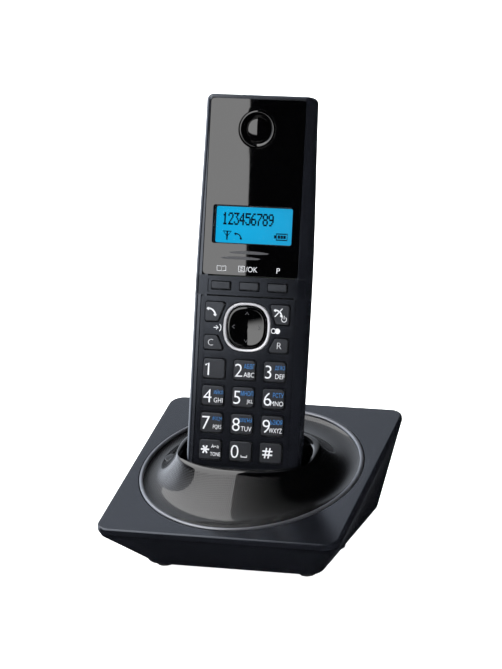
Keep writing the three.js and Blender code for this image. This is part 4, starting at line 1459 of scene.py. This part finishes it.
def swoosh(centre, top, half, rise, width):
    """Thin groove that bows upwards and fades to points at both ends, as an outline; the groove is drawn
    flat and painted grey, as the sheen it catches.
    """
    steps = 18
    upper, lower = [], []
    for i in range(steps + 1):
        t = -1 + 2 * i / steps
        bow = top - rise * t * t
        thick = width * (1 - t * t) ** 0.5 + 0.02
        upper.append(Vector((centre + half * t, bow)))
        lower.append(Vector((centre + half * t, bow - thick)))
    return lower + upper[::-1]


class PHONE_OT_display(Operator):
    """Builds the display cover, its window, the lit screen with its signs, and the ear piece"""

    bl_idname = "phone.display"
    bl_label = "Display"

    def execute(self, context):
        self.cover()
        self.screen()
        self.ear_piece()
        self.signs(in_mm(context.scene.phone_handset.legend_proud))
        return {"FINISHED"}

    def cover(self):
        outline = rounded_rectangle(INSERT_HALF_WIDTH - GAP, COVER_BOTTOM + GAP, COVER_TOP - GAP, 1.4)
        window = self.opening(0.15, 1.0)
        ear = circle(EAR_RADIUS, (0, EAR_HEIGHT), 64)
        sheet = slab(outline, 0, INSERT_THICKNESS, 0.3, 0.0, [window, ear], 3)
        add_piece(sheet, "cover_sheet", HANDSET, "gloss", "handset", "display_cover", 25)
        pane = slab(self.opening(0.0, 0.9), 0.02, 1.2, 0.12)
        tunnel = rounded_rectangle(WINDOW_HALF_WIDTH - 0.4, WINDOW_BOTTOM + 0.2, WINDOW_TOP - 0.4, 0.8)
        surround = slab(self.opening(1.2, 1.5), 1.85, 2.98, holes=[tunnel])
        add_piece(surround, "window_frame", HANDSET, "rubber", "handset", sharp=25)
        places = ((-0.7, 86.9), (-4.3, 84.6))
        # The cover's two grooves are flat grey strips just proud of it: painted sheen in place of the light
        # their edges catch.
        curves = [slab(swoosh(x, top, 8.6, 0.6, 1.25), -0.03, 0.02) for x, top in places]
        add_piece(joined(*curves), "cover_grooves_painted_sheen", HANDSET, "grey_ink", "handset")
        add_piece(pane, "window_pane", HANDSET, "window", "handset", "display_window", 25)

    @staticmethod
    def opening(growth, corner):
        """Outline of the window, made larger all round."""
        return rounded_rectangle(
            WINDOW_HALF_WIDTH + growth, WINDOW_BOTTOM - growth, WINDOW_TOP + growth, corner
        )

    def screen(self):
        low, high = WINDOW_BOTTOM - 1.2, WINDOW_TOP + 1.2
        glass = slab(rounded_rectangle(18, low - 2.0, high + 2.0, 0.8), 3.0, 4.9, 0.15)
        add_piece(glass, "lcd_glass", HANDSET, "screen", "handset", "lcd_module")
        dots = []
        cell, tall = 0.425, 0.72
        left, top = -13.8, 102.4
        for i, digit in enumerate("123456789"):
            for row, bits in enumerate(DIGIT_DOTS[digit]):
                for column_index in range(5):
                    if bits >> (4 - column_index) & 1:
                        x = left + i * cell * 5.8 + column_index * cell
                        z = top - row * tall
                        dots.append(block((x - 0.1, 2.9, z - tall), (x + cell + 0.1, 3.02, z)))
        marks = [
            stroke([(-13.2, 94.7), (-9.8, 94.7), (-11.5, 92.6)], 0.55, 2.9, 0.12, True),
            stroke([(-11.5, 94.9), (-11.5, 91.2)], 0.6, 2.9, 0.12),
            receiver((-6.6, 93.0), 2.9, 0.12, 0.8),
            stroke([(9.6, 92.0), (9.6, 94.5), (14.2, 94.5), (14.2, 92.0)], 0.5, 2.9, 0.12, True),
        ]
        for x, half in ((9.1, 0.45), (10.7, 0.5), (11.9, 0.5), (13.1, 0.5)):
            marks.append(slab(rounded_rectangle(half, 92.6, 93.9, 0.05, x), 2.9, 3.02))
        add_piece(joined(*dots, *marks), "lcd_signs", HANDSET, "screen_ink", "handset")

    def ear_piece(self):
        outer = EAR_RADIUS - 0.12
        dome = EAR_DOME
        profile = [
            (0, 1.9), (outer, 1.9), (outer, 0.42), (outer - 0.15, 0.2), (outer - 0.4, 0.06),
            (outer - 0.8, 0.01), (outer - 1.2, 0.07), (outer - 1.6, 0.3), (outer - 2.1, 0.8),
            (dome + 0.75, 1.3), (dome + 0.35, 1.45), (dome + 0.1, 1.3), (dome, 0.95), (dome - 0.25, 0.6),
        ]
        profile += [((dome - 0.3) * math.cos(a), 0.6 - 0.42 * math.sin(a))
                    for a in (math.radians(angle) for angle in range(15, 90, 15))]
        profile.append((0, 0.18))
        piece = turned(profile, 72, (0, 0, EAR_HEIGHT), (0, 1, 0))
        add_piece(piece, "ear_bowl", HANDSET, "gloss", "handset", "earpiece_dome", 45)

    def signs(self, proud):
        layer = (-proud, proud + 0.02)
        book = [
            stroke([(-14.1, 78.6), (-14.1, 80.5), (-12.2, 80.3), (-12.2, 78.4)], 0.2, *layer, True),
            stroke([(-12.2, 78.4), (-12.2, 80.3), (-10.3, 80.5), (-10.3, 78.6)], 0.2, *layer, True),
        ]
        menu = [
            stroke([(-4.9, 78.4), (-4.9, 80.7), (-2.4, 80.7), (-2.4, 78.4)], 0.22, *layer, True),
            stroke([(-4.2, 80.0), (-3.1, 80.0)], 0.22, *layer),
            stroke([(-4.2, 79.1), (-3.1, 79.1)], 0.22, *layer),
            lettering("/OK", 2.2, (-1.8, 79.5), *layer, (0, 0.5), -0.008, 0.9),
            lettering("P", 2.2, (12.1, 79.5), *layer, weight=-0.008),
        ]
        add_piece(joined(*book, *menu), "cover_signs", HANDSET, "white_ink", "handset")


class PHONE_OT_band(Operator):
    """Builds the band across the handset and its three soft keys"""

    bl_idname = "phone.band"
    bl_label = "Soft Key Band"

    def execute(self, context):
        sizes = context.scene.phone_handset
        body = carved(case_solid(sizes, rows=60), [
            block((-FAR, -2, BAND_BOTTOM + GAP), (FAR, INSERT_THICKNESS, BAND_TOP - GAP)),
        ], "INTERSECT")
        cutters = [slab(rounded_rectangle(17.75, 69.6, 75.3, 0.8), -1, 0.45)]
        for side in (-1, 0, 1):
            cutters.append(slab(self.key_outline(side, KEY_CLEARANCE), -1, 3))
        body = carved(body, cutters)
        add_piece(body, "key_band", HANDSET, "panel", "handset", "soft_key_band", 28)
        for side, hand in ((-1, "left"), (0, "middle"), (1, "right")):
            key = slab(self.key_outline(side, 0.0), -0.3, 1.9, 0.4, 0.0, (), 4)
            add_piece(key, f"menu_key_{hand}", HANDSET, "key", f"soft_key_{hand}", f"soft_key_{hand}")
        return {"FINISHED"}

    @staticmethod
    def key_outline(side, growth):
        half_height = SOFT_KEY_HEIGHT / 2 + growth
        return rounded_rectangle(
            SOFT_KEY_WIDTH / 2 + growth, SOFT_KEY_Z - half_height, SOFT_KEY_Z + half_height, 0.6,
            side * SOFT_KEY_X,
        )


# ---- keypad -------------------------------------------------------------------------------

TALK_CORNERS = [Vector((-18, 57.6)), Vector((-12.3, 57.8)), Vector((-9.3, 65.7)), Vector((-18, 65.7))]
CLEAR_CORNERS = [Vector((-18, 46.2)), Vector((-9.3, 46.2)), Vector((-12.3, 52.1)), Vector((-18, 52.1))]
DIGIT_ROWS = [["1", "2", "3"], ["4", "5", "6"], ["7", "8", "9"], ["star", "0", "hash"]]
LATIN = {"2": "ABC", "3": "DEF", "4": "GHI", "5": "JKL", "6": "MNO", "7": "PQRS", "8": "TUV", "9": "WXYZ"}
CYRILLIC = {
    "2": "АБВГ", "3": "ДЕЖЗ", "4": "ИЙКЛ", "5": "МНОП",
    "6": "РСТУ", "7": "ФХЦЧ", "8": "ШЩЪЫ", "9": "ЬЭЮЯ",
}


def mirrored(corners):
    return [Vector((-corner.x, corner.y)) for corner in reversed(corners)]


def digit_keys():
    """Name, centre and corners of the twelve keys."""
    for i, row in enumerate(DIGIT_ROWS):
        z = DIGIT_TOP_ROW - i * DIGIT_PITCH_Z
        for j, name in enumerate(row):
            x = (j - 1) * DIGIT_PITCH_X
            corners = rectangle(DIGIT_WIDTH / 2, z - DIGIT_HEIGHT / 2, z + DIGIT_HEIGHT / 2, x)
            yield name, (x, z), corners


def function_keys():
    yield "talk_key", TALK_CORNERS
    yield "off_key", mirrored(TALK_CORNERS)
    yield "clear_key", CLEAR_CORNERS
    yield "recall_key", mirrored(CLEAR_CORNERS)


def receiver(centre, depth, thickness, size=1.0):
    """Sign of a handset: a bowed grip with two heavy ends."""
    turn = Matrix.Rotation(math.radians(-38), 2)

    def placed(points):
        return [turn @ (Vector(point) * size) + Vector(centre) for point in points]

    bow = [Vector((x, 0.55 - 0.16 * x * x)) for x in (-2.0, -1.5, -0.9, -0.3, 0.3, 0.9, 1.5, 2.0)]
    grip = stroke(placed(bow), 0.6 * size, depth, thickness)
    left = placed([(-2.45, -0.75), (-1.35, -0.75), (-1.35, 0.15), (-2.45, 0.15)])
    right = placed([(1.35, -0.75), (2.45, -0.75), (2.45, 0.15), (1.35, 0.15)])
    return joined(grip, *(slab(end, depth, depth + thickness) for end in (left, right)))


class PHONE_OT_keypad(Operator):
    """Builds the keypad panel, its sixteen keys and their signs"""

    bl_idname = "phone.keypad"
    bl_label = "Keypad"

    def execute(self, context):
        sizes = context.scene.phone_handset
        self.front = -in_mm(sizes.key_proud)
        self.edge = in_mm(sizes.key_edge)
        self.proud = in_mm(sizes.legend_proud)
        self.layer = (self.front - self.proud, self.proud + 0.03)  # depth and thickness of the signs
        self.panel()
        for name, centre, corners in digit_keys():
            self.key(f"key_{name}", corners, DIGIT_CORNER)
            self.digit_signs(name, centre)
        for name, corners in function_keys():
            self.key(name, corners, FUNCTION_CORNER)
        self.function_signs()
        return {"FINISHED"}

    def panel(self):
        outline = rounded_rectangle(INSERT_HALF_WIDTH - GAP, PANEL_BOTTOM + GAP, BAND_BOTTOM - GAP, 0.8)
        shapes = [(corners, DIGIT_CORNER) for _, _, corners in digit_keys()]
        shapes += [(corners, FUNCTION_CORNER) for _, corners in function_keys()]
        holes = [rounded(grown(corners, KEY_CLEARANCE), radius + 0.1) for corners, radius in shapes]
        holes.append(superellipse(NAV_OUTER + GAP, NAV_OUTER + GAP, NAV_EXPONENT, (0, NAV_HEIGHT), 72))
        sheet = slab(outline, 0, INSERT_THICKNESS, 0.18, 0.0, holes, 2)
        add_piece(sheet, "key_panel", HANDSET, "panel", "handset", "keypad_panel", 25)

    def key(self, name, corners, radius):
        bm = slab(rounded(corners, radius, 7), self.front, KEY_BACK, self.edge, 0.0, (), 5)
        add_piece(bm, f"{name}_cap", HANDSET, "key", name, name)

    def letters(self, text, height, at, align=(0.5, 0.5), weight=0.0, stretch=1.0):
        return lettering(text, height, at, *self.layer, align, weight, stretch)

    def line(self, path, width, closed=False):
        return stroke(path, width, *self.layer, closed)

    def sign(self, name, parts, ink, body):
        add_piece(joined(*parts), name, HANDSET, ink, body)

    def digit_signs(self, name, centre):
        x, z = centre
        left = x - DIGIT_WIDTH / 2
        body = f"key_{name}"
        if name == "star":
            spokes = [
                self.line([Vector((left + 2.6, z)) + d * 1.75, Vector((left + 2.6, z)) - d * 1.75], 0.62)
                for d in (Vector((math.cos(a), math.sin(a))) for a in (0, math.pi / 3, -math.pi / 3))
            ]
            small = [
                self.letters("A", 1.3, (left + 5.2, z + 0.75), (0, 0)),
                self.line([(left + 6.5, z + 1.4), (left + 7.3, z + 1.4)], 0.25),
                self.letters("a", 1.0, (left + 7.6, z + 0.75), (0, 0)),
                self.letters("TONE", 1.5, (left + 4.9, z - 2.5), (0, 0), 0.0, 0.75),
            ]
            self.sign("key_star_sign", spokes + small, "white_ink", body)
            return
        if name == "hash":
            middle = left + 3.4
            bars = []
            for offset in (-0.75, 0.75):
                bars.append(self.line([(middle - 2.1, z + offset), (middle + 2.1, z + offset)], 0.55))
                x = middle + offset
                bars.append(self.line([(x - 0.35, z - 2.1), (x + 0.35, z + 2.1)], 0.55))
            self.sign("key_hash_sign", bars, "white_ink", body)
            return
        if name == "1":
            shaft = [(left + 1.0, z + 1.3), (left + 2.35, z + 2.2), (left + 2.35, z - 2.75)]
            parts = [self.line(shaft, 0.6)]
        else:
            parts = [self.letters(name, 5.3, (left + 0.75, z - 0.15), (0, 0.5), -0.012)]
        if name == "0":
            start, end = left + 5.2, left + 7.6
            hook = [(start, z - 1.5), (start, z - 2.2), (end, z - 2.2), (end, z - 1.5)]
            parts.append(self.line(hook, 0.35))
        if name in LATIN:
            parts.append(self.letters(LATIN[name], 1.9, (left + 9.05, z - 2.7), (1, 0), -0.008,
                                      0.86 if len(LATIN[name]) < 4 else 0.66))
            blue = self.letters(CYRILLIC[name], 1.9, (left + 9.05, z + 0.7), (1, 0), -0.012, 0.68)
            self.sign(f"key_{name}_blue_sign", [blue], "blue_ink", body)
        self.sign(f"key_{name}_sign", parts, "white_ink", body)

    def function_signs(self):
        self.sign("talk_sign", [receiver((-15.0, 61.9), *self.layer)], "white_ink", "talk_key")
        cross = self.line([(11.9, 60.9), (15.0, 64.3)], 0.34)
        power = [
            self.line(arc((15.9, 60.0), 1.05, 125, 415, 14), 0.22),
            self.line([(15.9, 60.1), (15.9, 61.5)], 0.22),
        ]
        off = receiver((13.5, 62.6), *self.layer, 0.9)
        self.sign("off_sign", [off, cross, *power], "white_ink", "off_key")
        for name, x in (("clear", -15.0), ("recall", 14.4)):
            letter = self.letters(name[0].upper(), 2.5, (x, 49.2), weight=-0.025)
            self.sign(f"{name}_sign", [letter], "white_ink", f"{name}_key")
        layer = (-self.proud, self.proud + 0.02)
        speak = [
            stroke([(-14.2, 55.3), (-12.5, 55.3)], 0.28, *layer),
            stroke([(-13.2, 56.1), (-12.3, 55.3), (-13.2, 54.5)], 0.28, *layer),
            stroke(arc((-12.9, 55.3), 1.8, -50, 50, 8), 0.32, *layer),
            stroke(arc((11.4, 55.1), 0.95, 0, 342, 19), 0.3, *layer, True),
            slab(circle(1.1, (13.1, 55.1), 24), -self.proud, 0.02),
        ]
        add_piece(joined(*speak), "panel_signs", HANDSET, "white_ink", "handset")


class PHONE_OT_navigator(Operator):
    """Builds the navigator's plated ring, its hollowed cap and its arrows"""

    bl_idname = "phone.navigator"
    bl_label = "Navigator"

    def execute(self, context):
        inner, outer = NAV_INNER, NAV_OUTER
        profile = (
            (inner, 1.5), (inner, -0.45), (inner + 0.12, -0.72), (inner + 0.36, -0.88),
            (inner + 0.68, -0.92), (outer - 0.35, -0.86), (outer - 0.1, -0.68), (outer, -0.4),
            (outer, 1.5),
        )
        ring = lofted([self.ring(radius, depth) for radius, depth in profile], closed=True)
        add_piece(ring, "navigator_trim", HANDSET, "chrome", "handset", "navigator_ring", 50)
        edge = ((0.0, 0.7), (0.0, -0.25), (0.1, -0.48), (0.35, -0.64), (0.7, -0.68))
        rings = [self.ring(NAV_CAP - inset, depth) for inset, depth in edge]
        rows = 14
        for row in range(1, rows):
            share = 1 - row / rows
            rings.append(self.ring((NAV_CAP - 0.7) * share, -0.68 + 0.22 * (1 - share ** 2)))
        cap = lofted(rings)
        add_piece(cap, "navigator_face", HANDSET, "gloss", "navigator_cap", "navigator_cap", 40)
        arrows = []
        middle = Vector((0, NAV_HEIGHT))
        for turn in range(4):
            spin = Matrix.Rotation(math.radians(90 * turn), 2)
            path = [spin @ Vector(point) + middle for point in ((-0.7, 5.1), (0, 6.1), (0.7, 5.1))]
            arrows.append(stroke(path, 0.32, -0.66, 0.3))
        add_piece(joined(*arrows), "navigator_arrows", HANDSET, "grey_ink", "navigator_cap")
        return {"FINISHED"}

    @staticmethod
    def ring(radius, depth):
        flat = superellipse(radius, radius, NAV_EXPONENT, (0, NAV_HEIGHT), 96)
        return [Vector((point.x, depth, point.y)) for point in flat]


class PHONE_OT_inside(Operator):
    """Gives the pieces inside the telephone their finishes"""

    bl_idname = "phone.inside"
    bl_label = "Inner Pieces"

    def execute(self, context):
        inner = {
            "base_board": "board", "handset_board": "board", "keypad_mat": "rubber",
            "navigator_pad": "rubber", "microphone": "magnet", "ringer_speaker": "magnet",
            "earpiece_speaker": "magnet", "battery_left": "cell", "battery_right": "cell",
            "battery_contacts": "contact",
        }
        for node, finish in inner.items():
            mesh = frame["nodes"][node].data
            mesh.materials.clear()
            mesh.materials.append(finish_named(finish))
        return {"FINISHED"}


class PHONE_PT_panel(Panel):
    """Lists the telephone's pieces in the order they are built"""

    bl_idname = "PHONE_PT_panel"
    bl_label = "Cordless Telephone"
    bl_space_type = "VIEW_3D"
    bl_region_type = "UI"
    bl_category = "Telephone"

    def draw(self, context):
        for operator in OPERATORS:
            self.layout.operator(operator.bl_idname)
        for group in ("phone_base", "phone_handset", "phone_finishes", "phone_stage"):
            box = self.layout.box()
            values = getattr(context.scene, group)
            for name in values.__annotations__:
                box.prop(values, name)


OPERATORS = (
    PHONE_OT_stage, PHONE_OT_top_cover, PHONE_OT_cradle, PHONE_OT_bottom_case, PHONE_OT_sockets,
    PHONE_OT_cases, PHONE_OT_display, PHONE_OT_band, PHONE_OT_keypad, PHONE_OT_navigator,
    PHONE_OT_inside,
)
GROUPS = {
    "phone_base": PhoneBaseSizes, "phone_handset": PhoneHandsetSizes, "phone_finishes": PhoneFinishes,
    "phone_stage": PhoneStage,
}


def register():
    for kind in (*GROUPS.values(), *OPERATORS, PHONE_PT_panel):
        bpy.utils.register_class(kind)
    for name, kind in GROUPS.items():
        setattr(bpy.types.Scene, name, PointerProperty(type=kind))


def unregister():
    for name in GROUPS:
        delattr(bpy.types.Scene, name)
    for kind in reversed((*GROUPS.values(), *OPERATORS, PHONE_PT_panel)):
        bpy.utils.unregister_class(kind)


def main():
    register()
    bpy.ops.phone.stage()
    bpy.ops.phone.top_cover()
    bpy.ops.phone.cradle()
    bpy.ops.phone.bottom_case()
    bpy.ops.phone.sockets()
    bpy.ops.phone.cases()
    bpy.ops.phone.display()
    bpy.ops.phone.band()
    bpy.ops.phone.keypad()
    bpy.ops.phone.navigator()
    bpy.ops.phone.inside()


if __name__ == "__main__":
    main()
